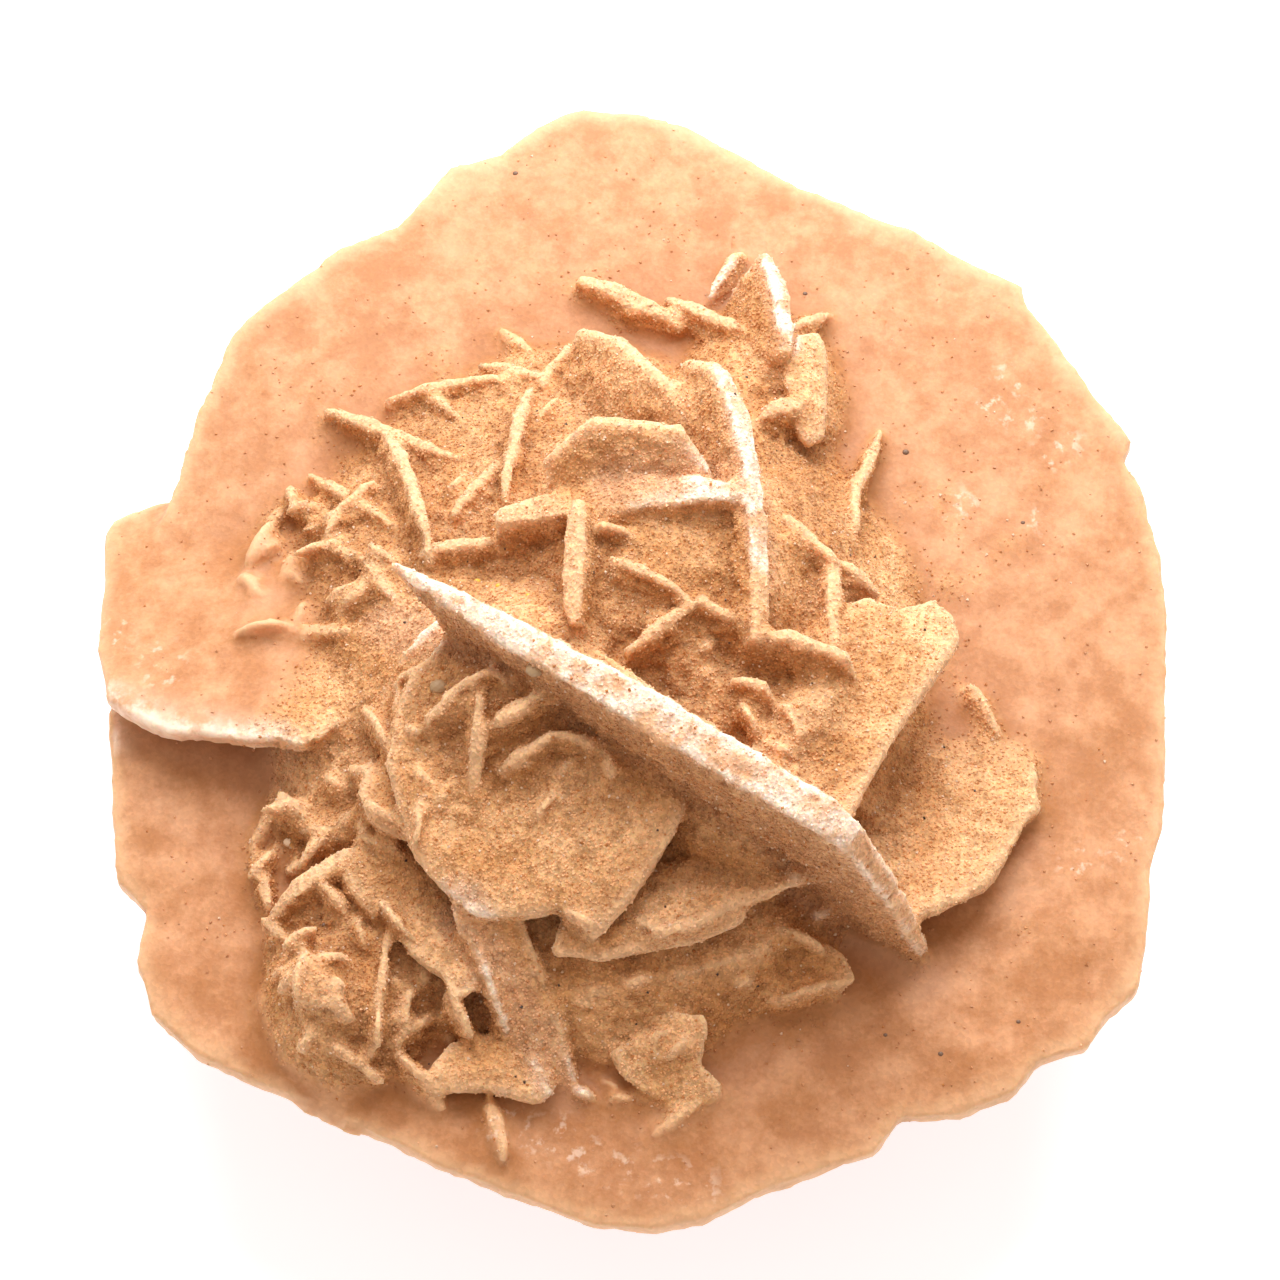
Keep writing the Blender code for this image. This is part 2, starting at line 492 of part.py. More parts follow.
def root_blades():
    """The side that the rose rests on: the same growth, broken off flat underneath."""
    root_mound()
    root_petal("root_a", (1.5, -6.0, 4.5), 12, 82, 14.0, 8.0)
    root_petal("root_b", (-2.5, 5.0, 4.8), -22, 78, 14.5, 8.0)
    root_petal("root_c", (7.0, 1.0, 4.6), 78, 80, 13.0, 7.5)
    root_petal("root_d", (-7.5, -1.5, 4.6), 102, 82, 13.5, 7.5)
    root_petal("root_e", (0.0, -1.0, 4.2), 46, 66, 16.0, 9.0)
    root_petal("root_f", (1.0, 0.5, 4.0), -48, 68, 16.0, 8.5)
    root_petal("root_g", (10.5, -9.0, 6.0), 52, 128, 7.0, 6.5, 1.7, 0.7)
    root_petal("root_h", (-10.0, 9.0, 6.0), 48, 56, 7.0, 6.5, 1.7, 0.7)
    root_petal("root_i", (-9.5, -10.5, 6.2), -42, 130, 7.5, 6.0, 1.7, 0.7)
    root_petal("root_j", (10.0, 10.0, 6.2), -46, 54, 7.0, 6.0, 1.7, 0.7)
    root_petal("root_k", (0.5, 12.5, 6.6), 6, 50, 7.5, 5.5, 1.7, 0.7)
    root_petal("root_l", (1.5, -14.0, 6.6), -6, 132, 7.5, 5.5, 1.7, 0.7)
    turn = 0.0
    for number in range(ROOT_FINS):
        turn += GOLDEN_ANGLE
        reach = ROOT_FIN_REACH + chance.uniform(-1.5, 1.5)
        centre = (0.5 + reach * math.cos(turn), -1.0 + reach * math.sin(turn), 8.5)
        strike = math.degrees(turn) + chance.uniform(20, 160)
        half_length = chance.uniform(2.6, 4.2)
        half_height = chance.uniform(2.6, 3.6)
        name = f"root_fin_{number:02d}"
        root_petal(name, centre, strike, 75, half_length, half_height, 1.1, 0.6, sides=7)


def joined(blank):
    """Every blade and mound joined to the blank, as a mesh."""
    union = blank.modifiers.new("grown together", "BOOLEAN")
    union.operation = "UNION"
    union.operand_type = "COLLECTION"
    union.collection = crystals
    union.solver = "EXACT"
    graph = bpy.context.evaluated_depsgraph_get()
    return bpy.data.meshes.new_from_object(blank.evaluated_get(graph))


def largest_body(mesh):
    """Removes the closed pockets that the join leaves between blades and sand."""
    shape = bmesh.new()
    shape.from_mesh(mesh)
    unseen = set(shape.verts)
    bodies = []
    while unseen:
        front = [unseen.pop()]
        body = list(front)
        while front:
            for edge in front.pop().link_edges:
                for vert in edge.verts:
                    if vert in unseen:
                        unseen.remove(vert)
                        front.append(vert)
                        body.append(vert)
        bodies.append(body)
    bodies.sort(key=len)
    for body in bodies[:-1]:
        bmesh.ops.delete(shape, geom=body, context="VERTS")
    shape.to_mesh(mesh)
    shape.free()


def broken_flat(mesh, cutter):
    """The mesh with everything below the resting plane taken away."""
    whole = bpy.data.objects.new("whole", mesh)
    cutters.objects.link(whole)
    cut = whole.modifiers.new("flat underside", "BOOLEAN")
    cut.operation = "DIFFERENCE"
    cut.object = cutter
    cut.solver = "EXACT"
    graph = bpy.context.evaluated_depsgraph_get()
    return bpy.data.meshes.new_from_object(whole.evaluated_get(graph))


def underside_cutter():
    """A block whose top is the plane that the rose rests on."""
    shape = bmesh.new()
    bmesh.ops.create_cube(shape, size=1.0)
    bmesh.ops.scale(shape, vec=(80, 80, 20), verts=shape.verts)
    bmesh.ops.translate(shape, vec=(0, 0, -10), verts=shape.verts)
    cutter = object_from(shape, "underside_cutter", cutters)
    cutter.hide_render = True
    cutter.display_type = "WIRE"
    return cutter


def centred(mesh):
    """Moves the mesh so that its box stands on the origin, midway east and north."""
    lows = [min(vert.co[axis] for vert in mesh.vertices) for axis in range(3)]
    highs = [max(vert.co[axis] for vert in mesh.vertices) for axis in range(3)]
    middle = Vector(((lows[0] + highs[0]) / 2, (lows[1] + highs[1]) / 2, lows[2]))
    mesh.transform(Matrix.Translation(-middle))
    return -middle


def sandy_gypsum():
    material = bpy.data.materials.new("sandy_gypsum")
    material.use_nodes = True
    surface = material.node_tree.nodes["Principled BSDF"]
    surface.inputs["Base Color"].default_value = SAND_COLOUR
    surface.inputs["Roughness"].default_value = SAND_ROUGHNESS
    surface.inputs["Metallic"].default_value = 0.0
    return material


clear_scene()
chance = random.Random(7)
crystals = collection_named("crystals")
cutters = collection_named("cutters")
rose = collection_named("sand_rose")

blank = broad_blade()
crystals.objects.unlink(blank)
cutters.objects.link(blank)
upper_sand()
crest_blade()
west_blade()
shelves()
east_leaves()
tall_fan()
north_blades()
east_blades()
ledge_blades()
west_blades()
south_west_blades()
south_blades()
root_blades()

grown = joined(blank)
largest_body(grown)
whole = broken_flat(grown, underside_cutter())
largest_body(whole)
OFFSET = centred(whole)
whole.materials.clear()
whole.materials.append(sandy_gypsum())
whole.name = "sand_rose"
rose.objects.link(bpy.data.objects.new("sand_rose", whole))
for helper in list(crystals.objects) + list(cutters.objects):
    bpy.data.objects.remove(helper, do_unlink=True)
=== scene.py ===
"""A gypsum sand rose on a pale floor: one broad blade with a sandy mound of smaller blades
grown through it above and below. Metres, +Z up, the rose standing on the origin."""

import math

import bmesh
import bpy
import numpy as np
from mathutils import Matrix, Vector
from mathutils.bvhtree import BVHTree


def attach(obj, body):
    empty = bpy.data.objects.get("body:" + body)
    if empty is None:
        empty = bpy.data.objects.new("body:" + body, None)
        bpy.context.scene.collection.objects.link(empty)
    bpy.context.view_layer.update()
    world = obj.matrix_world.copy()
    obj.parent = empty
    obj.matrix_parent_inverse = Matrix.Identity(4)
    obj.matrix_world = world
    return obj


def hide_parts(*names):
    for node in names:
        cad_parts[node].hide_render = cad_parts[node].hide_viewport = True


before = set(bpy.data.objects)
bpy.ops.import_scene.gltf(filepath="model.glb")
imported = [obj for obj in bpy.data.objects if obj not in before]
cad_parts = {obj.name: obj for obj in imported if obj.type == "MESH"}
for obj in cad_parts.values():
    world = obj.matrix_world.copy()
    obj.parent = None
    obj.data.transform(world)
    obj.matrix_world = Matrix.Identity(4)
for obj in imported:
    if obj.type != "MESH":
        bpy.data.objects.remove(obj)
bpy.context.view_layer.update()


# ---- The grown blades -------------------------------------------------------------------
# Lens-shaped gypsum blades that grew into and through one another in wet desert sand, all
# one stone, with the sand cemented in it. Rims are worn blunt and chipped by the wind, and
# the side that it rests on was broken off flat.

MM = 0.001
BROAD_RIM_TOP = 13.0 * MM  # the level of the broad blade's upper rim
LAYOUT_MIDDLE = Vector((0.35 * MM, 0.15 * MM, BROAD_RIM_TOP))  # where plan places count from
VOXEL = 0.17 * MM  # how fine the skin over all the blades is
BODY_TRIANGLES = 194000
SOFTENING_ROUNDS = 2  # how often each point moves to the middle of its neighbours
FILLING_ROUNDS = 16  # the same for all but the rims, which leaves sand sloping between them
EDGE_ROUNDS = 8  # how far round a point is looked at to tell an edge, a rim and a hollow
RIM_ROUNDS = 9
HOLLOW_ROUNDS = 180
NESTS = [  # where the smallest blades crowd: middle, reach
    ((-14.8, 2.8), (3.8, 4.4)),
    ((-13.4, -11.4), (4.2, 3.2)),
    ((-12.8, -18.2), (4.0, 4.0)),
]
SMALL_BLADES = 0.20  # to each square millimetre of a nest
SMALL_BLADE = (1.30 * MM, 0.30 * MM, 0.75 * MM)  # half its length, thickness and height
SMALL_BLADE_SIZES = ((0.5, 0.85, 0.7), (1.3, 1.3, 1.2))  # least and most, as shares of that
SMALL_BLADE_LEANS = ((-0.35, -0.2, 0.0), (0.35, 0.2, math.pi))  # least and most turn, in radians
NEST_FLOOR = 0.2 * MM  # how high over the broad blade's rim small blades start
NEST_LEVEL = 0.6  # how level the ground under one is: 1 flat, 0 upright
FINS = [  # start and end in the plan, and how far it stands out of the sand
    ((-12.7, -5.6), (-11.0, -9.2), 0.8),
    ((-14.6, -8.3), (-13.2, -9.3), 0.6),
    ((-12.3, -8.2), (-12.5, -10.6), 0.7),
    ((-12.5, -10.6), (-10.8, -12.1), 0.7),
    ((-8.7, -19.1), (-7.7, -20.7), 0.8),
    ((-7.0, -5.6), (-5.8, -7.1), 0.8),
    ((-1.9, -9.2), (-1.3, -10.3), 0.6),
    ((-8.9, -4.9), (-11.0, -5.4), 0.9),
    ((-11.0, -5.6), (-10.8, -7.9), 0.8),
    ((-10.8, -7.9), (-9.6, -8.7), 0.8),
    ((-9.5, -10.8), (-10.1, -11.9), 0.6),
    ((-7.9, -16.4), (-5.9, -20.8), 0.7),
    ((-5.9, -20.8), (-3.8, -22.7), 0.7),
    ((-15.7, -10.6), (-12.7, -11.4), 0.8),
    ((-16.9, -10.4), (-16.6, -12.0), 0.6),
    ((-16.3, -17.1), (-14.6, -18.9), 0.7),
    ((-15.0, -20.2), (-12.7, -20.9), 0.6),
    ((-11.1, -21.6), (-8.8, -23.2), 0.8),
    ((-9.2, -19.2), (-8.5, -20.6), 0.6),
    ((-13.0, -14.9), (-12.3, -17.2), 0.7),
    ((-14.6, -13.6), (-13.4, -15.2), 0.7),
    ((0.2, -21.0), (2.0, -20.6), 0.6),
    ((-2.2, -21.9), (-0.4, -22.9), 0.6),
    ((3.6, -18.6), (5.4, -18.0), 0.6),
    ((-18.5, 3.2), (-16.9, 4.6), 0.9),
    ((-16.6, 6.3), (-15.1, 6.2), 0.7),
    ((-15.1, 6.2), (-14.3, 4.3), 0.6),
    ((-19.1, -0.9), (-15.9, -0.6), 0.9),
    ((-13.7, -0.3), (-12.4, 0.8), 0.8),
    ((-16.0, 3.5), (-14.0, 1.7), 0.6),
    ((-17.4, -8.8), (-14.0, -10.5), 0.8),
    ((-16.5, -17.8), (-14.3, -18.3), 0.7),
    ((-14.3, -18.3), (-13.6, -18.9), 0.7),
    ((-14.5, -19.9), (-13.0, -20.2), 0.7),
    ((-12.0, -22.3), (-11.0, -21.9), 0.6),
    ((-11.1, -21.2), (-9.0, -23.3), 0.9),
    ((-10.9, -20.9), (-9.5, -19.5), 0.6),
    ((5.7, -15.7), (8.5, -16.6), 0.9),
    ((5.9, -18.9), (9.6, -17.8), 0.7),
    ((0.0, -21.1), (1.3, -21.8), 0.6),
    ((1.3, -21.8), (2.6, -20.6), 0.7),
    ((-3.4, -22.6), (-1.8, -23.3), 0.7),
    ((-1.8, -23.3), (0.0, -22.9), 0.7),
    ((0.0, -22.9), (1.8, -23.5), 0.7),
    ((-10.4, -9.5), (-9.0, -11.3), 0.6),
    ((-13.3, -8.2), (-11.6, -10.3), 0.6),
    ((-9.7, -11.7), (-8.1, -10.9), 0.5),
    ((-6.4, -6.9), (-8.8, -8.3), 0.7),
    ((-6.7, -8.8), (-4.6, -7.9), 0.7),
    ((-6.3, -10.2), (-4.4, -10.0), 0.7),
    ((-4.7, -12.5), (-3.5, -10.9), 0.7),
    ((-1.9, -9.6), (-1.3, -10.7), 0.6),
    ((-9.5, -10.9), (-10.1, -11.9), 0.6),
    ((-2.3, 1.2), (0.0, 0.4), 0.5),
    ((0.0, -0.6), (-1.8, -1.8), 0.5),
    ((4.3, -6.6), (5.6, -8.7), 0.8),
    ((5.6, -8.7), (7.2, -9.7), 0.7),
    ((2.3, -4.8), (3.6, -3.8), 0.5),
    ((-10.0, 11.7), (-8.0, 9.2), 0.6),
    ((-8.0, 6.4), (-9.1, 4.9), 0.6),
    ((-5.2, 8.5), (-3.8, 10.7), 0.6),
    ((-3.6, -16.2), (-1.8, -17.4), 0.6),
    ((-0.9, -18.9), (0.9, -18.4), 0.5),
    ((-3.6, -19.2), (-1.4, -19.7), 0.5),
]
HEAPS = [  # sand banked against a blade: middle, level above the rim, half sizes, turn
    ((3.5, -12.2), 4.6, (3.6, 1.7, 3.4), -32),
    ((7.4, -7.6), 6.6, (2.0, 3.2, 2.2), -30),
]
SMOOTH_FACE = ((-21.5, -0.5), (7.5, 8.5))  # middle and reach of a raised blade bare of sand
SMOOTH_FADE = 0.70  # the share of its reach past which sand sets in
FIN_HALF = (0.36 * MM, 1.2 * MM)  # half its thickness and height
OVERHEAD = 30 * MM  # above every blade, where rays that look for the ground start
CRUSTS = [  # lines in the plan along which rims are crusted white: start, end, reach
    ((-11.6, -1.6), (9.0, -14.4), 1.6),
    ((9.0, -14.4), (13.0, -17.2), 1.4),
    ((-1.0, 3.2), (4.6, 3.3), 1.8),
    ((4.2, 9.4), (5.6, -0.5), 1.0),
    ((-24.6, -4.2), (-17.0, -7.0), 1.6),
    ((-8.2, -15.8), (-3.4, -22.8), 1.4),
    ((3.8, 18.0), (5.8, 19.2), 0.9),
    ((5.8, 19.2), (7.0, 13.6), 0.9),
]
FROSTS = [  # the same for the white patches on the faces
    ((16.6, 12.4), (18.7, 11.4), 1.0),
    ((17.5, 13.7), (17.9, 13.3), 0.7),
    ((20.4, 10.1), (19.1, 9.2), 0.9),
    ((14.3, 6.6), (15.5, 7.0), 0.8),
    ((18.7, 5.9), (19.0, 6.2), 0.6),
    ((20.1, -11.6), (20.6, -11.2), 0.9),
    ((22.7, -10.2), (22.5, -10.6), 0.8),
    ((-22.4, -2.0), (-22.2, -2.6), 1.3),
    ((-24.7, 0.3), (-24.6, -0.6), 1.0),
    ((-6.3, -24.2), (-3.6, -24.9), 1.3),
    ((-3.0, -25.6), (2.7, -27.2), 1.2),
]
CORNER_SHADE_LINES = [  # the same for painted shade in the corners between blades
    ((2.6, -12.4), (8.4, -14.6), 2.8),
    ((6.4, -5.2), (8.2, -10.2), 2.4),
    ((-1.0, -0.6), (3.4, -5.4), 3.2),
    ((-8.4, -6.0), (-2.4, -10.2), 3.6),
    ((-8.4, 8.8), (-4.4, 7.2), 3.0),
    ((-2.4, 7.2), (1.2, 7.2), 1.6),
    ((-10.6, 1.6), (-6.0, 0.6), 2.2),
    ((-14.4, -12.4), (-12.0, -20.6), 3.6),
    ((-3.6, -17.6), (3.6, -17.8), 2.2),
    ((-16.4, 3.6), (-13.2, 1.4), 3.4),
    ((7.0, 9.0), (8.6, 3.6), 2.2),
]
EDGE_BULGE = (0.01 * MM, 0.05 * MM)  # how far a point stands out: loose sand, and a firm edge
RIM_BULGE = (0.012 * MM, 0.07 * MM)  # the same for no rim and a full one
HOLLOW_SINK = (-0.04 * MM, 0.40 * MM)  # how far a point lies in: no hollow, and a full one
PROUD_SINK = (-0.05 * MM, -0.60 * MM)
FLANK_CLIMB = (0.92, 0.45)  # how level the ground is: 1 flat, 0 upright
SAND_ABOVE = (0.55 * MM, 1.35 * MM)  # levels over the broad rim: first sand, and nothing else
SAND_BELOW = (-2.0 * MM, -2.9 * MM)
SAND_EDGE = (1.6 * MM, 2.0 * MM, 3.0)  # how far those levels wander, over what length, detail
WOBBLE = (0.34 * MM, 2.6 * MM)  # how far rims wander, and over what length
CHIPS = (0.16 * MM, 0.65 * MM)
CHIPS_ON_FACES = 0.25  # how much of the chips' height is left away from rims
LUMPS = (0.95 * MM, 1.1 * MM, 4.0)  # the sand's lumps: height, length, detail
LUMPS_ON_PROUD = 0.25  # how much of the lumps' height is left out of hollows
LAYERS = (0.50 * MM, 1.5 * MM, 2.0)  # the sand's bedding
LAYERS_ON_LEVEL = 0.3
BEDDING = 4.0  # how much thinner the bedding is than long
CRUMBS = (0.46 * MM, 0.55 * MM, 3.0)
CRUMBS_ON_WAX = 0.1
SAND_OFF_RIMS = 0.8  # how much of the sand's roughness the rims lose
SWELLS = (0.35 * MM, 5.0 * MM, 2.0)  # the waxy blades' swells and dimples
DIMPLES = (0.07 * MM, 1.1 * MM, 4.0)


def node(tree, kind, inputs=None, **settings):
    """A node with its settings, and its inputs given as values or as sockets to link."""
    made = tree.nodes.new(kind)
    for name, value in settings.items():
        setattr(made, name, value)
    for key, value in (inputs or {}).items():
        if isinstance(value, bpy.types.NodeSocket):
            tree.links.new(value, made.inputs[key])
        else:
            made.inputs[key].default_value = value
    return made


def reckon(tree, operation, first, second=0.0, third=0.0):
    """The result of a Math node."""
    terms = {0: first, 1: second, 2: third}
    return node(tree, "ShaderNodeMath", terms, operation=operation).outputs[0]


def at_least(tree, share, least):
    """The share from 0 to 1 squeezed into the range from least to 1."""
    return reckon(tree, "MULTIPLY_ADD", share, 1.0 - least, least)


def lessened(tree, mark, most):
    """1 where there is nothing of the mark, and less by most where there is all of it."""
    return reckon(tree, "MULTIPLY_ADD", mark, -most, 1.0)


def vectors(tree, operation, first, second=None, scale=None):
    """The Vector Math node of that operation, whose result may be a vector or a value."""
    made = node(tree, "ShaderNodeVectorMath", {0: first}, operation=operation)
    for key, value in ((1, second), (3, scale)):
        if isinstance(value, bpy.types.NodeSocket):
            tree.links.new(value, made.inputs[key])
        elif value is not None:
            made.inputs[key].default_value = value
    return made


def stepped(tree, value, none, full):
    """0 up to none and 1 from full on, either way up, with a smooth change between them."""
    terms = {"Value": value, "From Min": none, "From Max": full}
    made = node(tree, "ShaderNodeMapRange", terms, interpolation_type="SMOOTHSTEP")
    return made.outputs["Result"]


def rough_noise(tree, place, length, detail=2.0, roughness=0.5):
    """A noise whose lumps are about length across."""
    terms = {"Vector": place, "Scale": 1.0 / length, "Detail": detail, "Roughness": roughness}
    return node(tree, "ShaderNodeTexNoise", terms)


def tree_with(name, inputs):
    """A Geometry Nodes tree with a geometry input, those named inputs and one output."""
    tree = bpy.data.node_groups.new(name, "GeometryNodeTree")
    tree.is_modifier = True
    tree.interface.new_socket("Geometry", in_out="INPUT", socket_type="NodeSocketGeometry")
    for label, kind, value in inputs:
        socket = tree.interface.new_socket(label, in_out="INPUT", socket_type=kind)
        if value is not None:
            socket.default_value = value
    tree.interface.new_socket("Geometry", in_out="OUTPUT", socket_type="NodeSocketGeometry")
    return tree, tree.nodes.new("NodeGroupInput").outputs


def shaped(obj, tree, values):
    """The mesh that a tree makes of obj, with the tree's inputs set by their identifiers."""
    modifier = obj.modifiers.new(tree.name, "NODES")
    modifier.node_group = tree
    for item in tree.interface.items_tree:
        if item.in_out == "INPUT" and item.name in values:
            modifier[item.identifier] = values[item.name]
    graph = bpy.context.evaluated_depsgraph_get()
    made = bpy.data.meshes.new_from_object(obj.evaluated_get(graph))
    obj.modifiers.clear()
    return made


def stored(tree, geometry, name, value):
    """The geometry with that value kept on its points as a named mark."""
    terms = {"Geometry": geometry, "Name": name, "Value": value}
    kind = "GeometryNodeStoreNamedAttribute"
    return node(tree, kind, terms, data_type="FLOAT", domain="POINT").outputs[0]


def blurred(tree, place, rounds, weight=1.0):
    """The place evened out with the neighbouring points', rounds times."""
    terms = {"Value": place, "Iterations": rounds, "Weight": weight}
    made = node(tree, "GeometryNodeBlurAttribute", terms, data_type="FLOAT_VECTOR")
    return next(socket for socket in made.outputs if socket.enabled)


def named(tree, name):
    """A mark that was stored on the points."""
    return node(tree, "GeometryNodeInputNamedAttribute", {"Name": name}).outputs[0]


def chance(tree, low, high, seed):
    """A random number or vector for each point, between low and high."""
    kind = "FLOAT_VECTOR" if isinstance(low, tuple) else "FLOAT"
    made = node(tree, "FunctionNodeRandomValue", {"Seed": seed}, data_type=kind)
    ends = [socket for socket in made.inputs if socket.enabled][:2]
    ends[0].default_value = low
    ends[1].default_value = high
    return next(socket for socket in made.outputs if socket.enabled)


def ground_under(ground, east, north):
    """The highest point of the ground at a place in the plan."""
    above = Vector((east * MM, north * MM, OVERHEAD)) + LAYOUT_MIDDLE
    return ground.ray_cast(above, Vector((0, 0, -1)))[0]


def finished(tree, geometry, material):
    """Ends a tree with the geometry in that material."""
    terms = {"Geometry": geometry, "Material": material}
    made = node(tree, "GeometryNodeSetMaterial", terms)
    node(tree, "NodeGroupOutput", {0: made.outputs[0]})


def set_fins(shape):
    """Adds the listed fins, each sunk in the ground under its two ends."""
    ground = BVHTree.FromBMesh(shape)
    half_thickness, half_height = FIN_HALF
    for start, end, rise in FINS:
        feet = [ground_under(ground, *start), ground_under(ground, *end)]
        along = feet[1] - feet[0]
        middle = (feet[0] + feet[1]) / 2 + Vector((0, 0, rise * MM - half_height))
        turn = along.to_track_quat("X", "Z").to_matrix().to_4x4()
        reach = Matrix.Diagonal((along.length / 2, half_thickness, half_height, 1.0))
        matrix = Matrix.Translation(middle) @ turn @ reach
        bmesh.ops.create_uvsphere(shape, u_segments=12, v_segments=8, radius=1.0, matrix=matrix)


def bank_sand(shape):
    """Adds the listed heaps of sand."""
    for middle, level, half_sizes, turn in HEAPS:
        place = Matrix.Translation(Vector((*middle, level)) * MM + LAYOUT_MIDDLE)
        spin = Matrix.Rotation(math.radians(turn), 4, "Z")
        reach = Matrix.Diagonal((*(Vector(half_sizes) * MM), 1.0))
        bmesh.ops.create_uvsphere(
            shape, u_segments=32, v_segments=16, radius=1.0, matrix=place @ spin @ reach
        )


def in_order(mesh):
    """The mesh with its faces in an order that is the same in every run."""
    faces = []
    for face in mesh.polygons:
        corners = list(face.vertices)
        first = corners.index(min(corners))
        faces.append(corners[first:] + corners[:first])
    made = bpy.data.meshes.new(mesh.name)
    made.from_pydata([vert.co for vert in mesh.vertices], [], sorted(faces))
    return made


def small_blades():
    """Adds crowded little blades, at every angle, to the nests."""
    tree, given = tree_with("small blades", [
        ("Density", "NodeSocketFloat", 1.0),
        ("Half Size", "NodeSocketVector", None),
        ("Seed", "NodeSocketInt", 1),
        ("Material", "NodeSocketMaterial", None),
    ])
    spots = node(
        tree,
        "GeometryNodeDistributePointsOnFaces",
        {"Mesh": given["Geometry"], "Density": given["Density"], "Seed": given["Seed"]},
        distribute_method="RANDOM",
    )
    upright = node(tree, "ShaderNodeSeparateXYZ", {0: spots.outputs["Normal"]}).outputs["Z"]
    marked_spots = stored(tree, spots.outputs["Points"], "level", upright)
    place = node(tree, "GeometryNodeInputPosition").outputs[0]
    flat = vectors(tree, "MULTIPLY", place, (1.0, 1.0, 0.0)).outputs[0]
    nested = 0.0
    for middle, reach in NESTS:
        centre = (middle[0] * MM + LAYOUT_MIDDLE.x, middle[1] * MM + LAYOUT_MIDDLE.y, 0.0)
        away = vectors(tree, "SUBTRACT", flat, centre).outputs[0]
        away = vectors(tree, "DIVIDE", away, (reach[0] * MM, reach[1] * MM, 1.0)).outputs[0]
        away = vectors(tree, "LENGTH", away).outputs["Value"]
        nested = reckon(tree, "MAXIMUM", nested, reckon(tree, "LESS_THAN", away, 1.0))
    high = node(tree, "ShaderNodeSeparateXYZ", {0: place}).outputs["Z"]
    high = reckon(tree, "GREATER_THAN", high, BROAD_RIM_TOP + NEST_FLOOR)
    nested = reckon(tree, "MULTIPLY", nested, high)
    level = reckon(tree, "GREATER_THAN", named(tree, "level"), NEST_LEVEL)
    nested = reckon(tree, "MULTIPLY", nested, level)
    bare = reckon(tree, "LESS_THAN", nested, 0.5)
    kept = node(
        tree, "GeometryNodeDeleteGeometry", {"Geometry": marked_spots, "Selection": bare},
        domain="POINT",
    )
    blade = node(tree, "GeometryNodeMeshUVSphere", {"Segments": 10, "Rings": 6, "Radius": 1.0})
    size = chance(tree, *SMALL_BLADE_SIZES, seed=3)
    size = vectors(tree, "MULTIPLY", given["Half Size"], size)
    lean = chance(tree, *SMALL_BLADE_LEANS, seed=8)
    grown = node(tree, "GeometryNodeInstanceOnPoints", {
        "Points": kept.outputs[0],
        "Instance": blade.outputs["Mesh"],
        "Rotation": lean,
        "Scale": size.outputs[0],
    })
    both = node(tree, "GeometryNodeJoinGeometry")
    tree.links.new(given["Geometry"], both.inputs[0])
    tree.links.new(grown.outputs[0], both.inputs[0])
    real = node(tree, "GeometryNodeRealizeInstances", {0: both.outputs[0]}).outputs[0]
    finished(tree, real, given["Material"])
    return tree


def wandered(tree, place, amount, length, share):
    """A shift to any side, in swings of that length."""
    swing = rough_noise(tree, place, length).outputs["Color"]
    swing = vectors(tree, "SUBTRACT", swing, (0.5, 0.5, 0.5)).outputs[0]
    amount = reckon(tree, "MULTIPLY", amount, share)
    return vectors(tree, "SCALE", swing, scale=amount).outputs[0]


def raised(tree, place, amount, length, detail, share):
    """A shift out of the surface and into it, in lumps of that length."""
    lump = rough_noise(tree, place, length, detail).outputs["Fac"]
    lump = reckon(tree, "SUBTRACT", lump, 0.5)
    lump = reckon(tree, "MULTIPLY", lump, amount)
    lump = reckon(tree, "MULTIPLY", lump, share)
    normal = node(tree, "GeometryNodeInputNormal").outputs[0]
    return vectors(tree, "SCALE", normal, scale=lump).outputs[0]


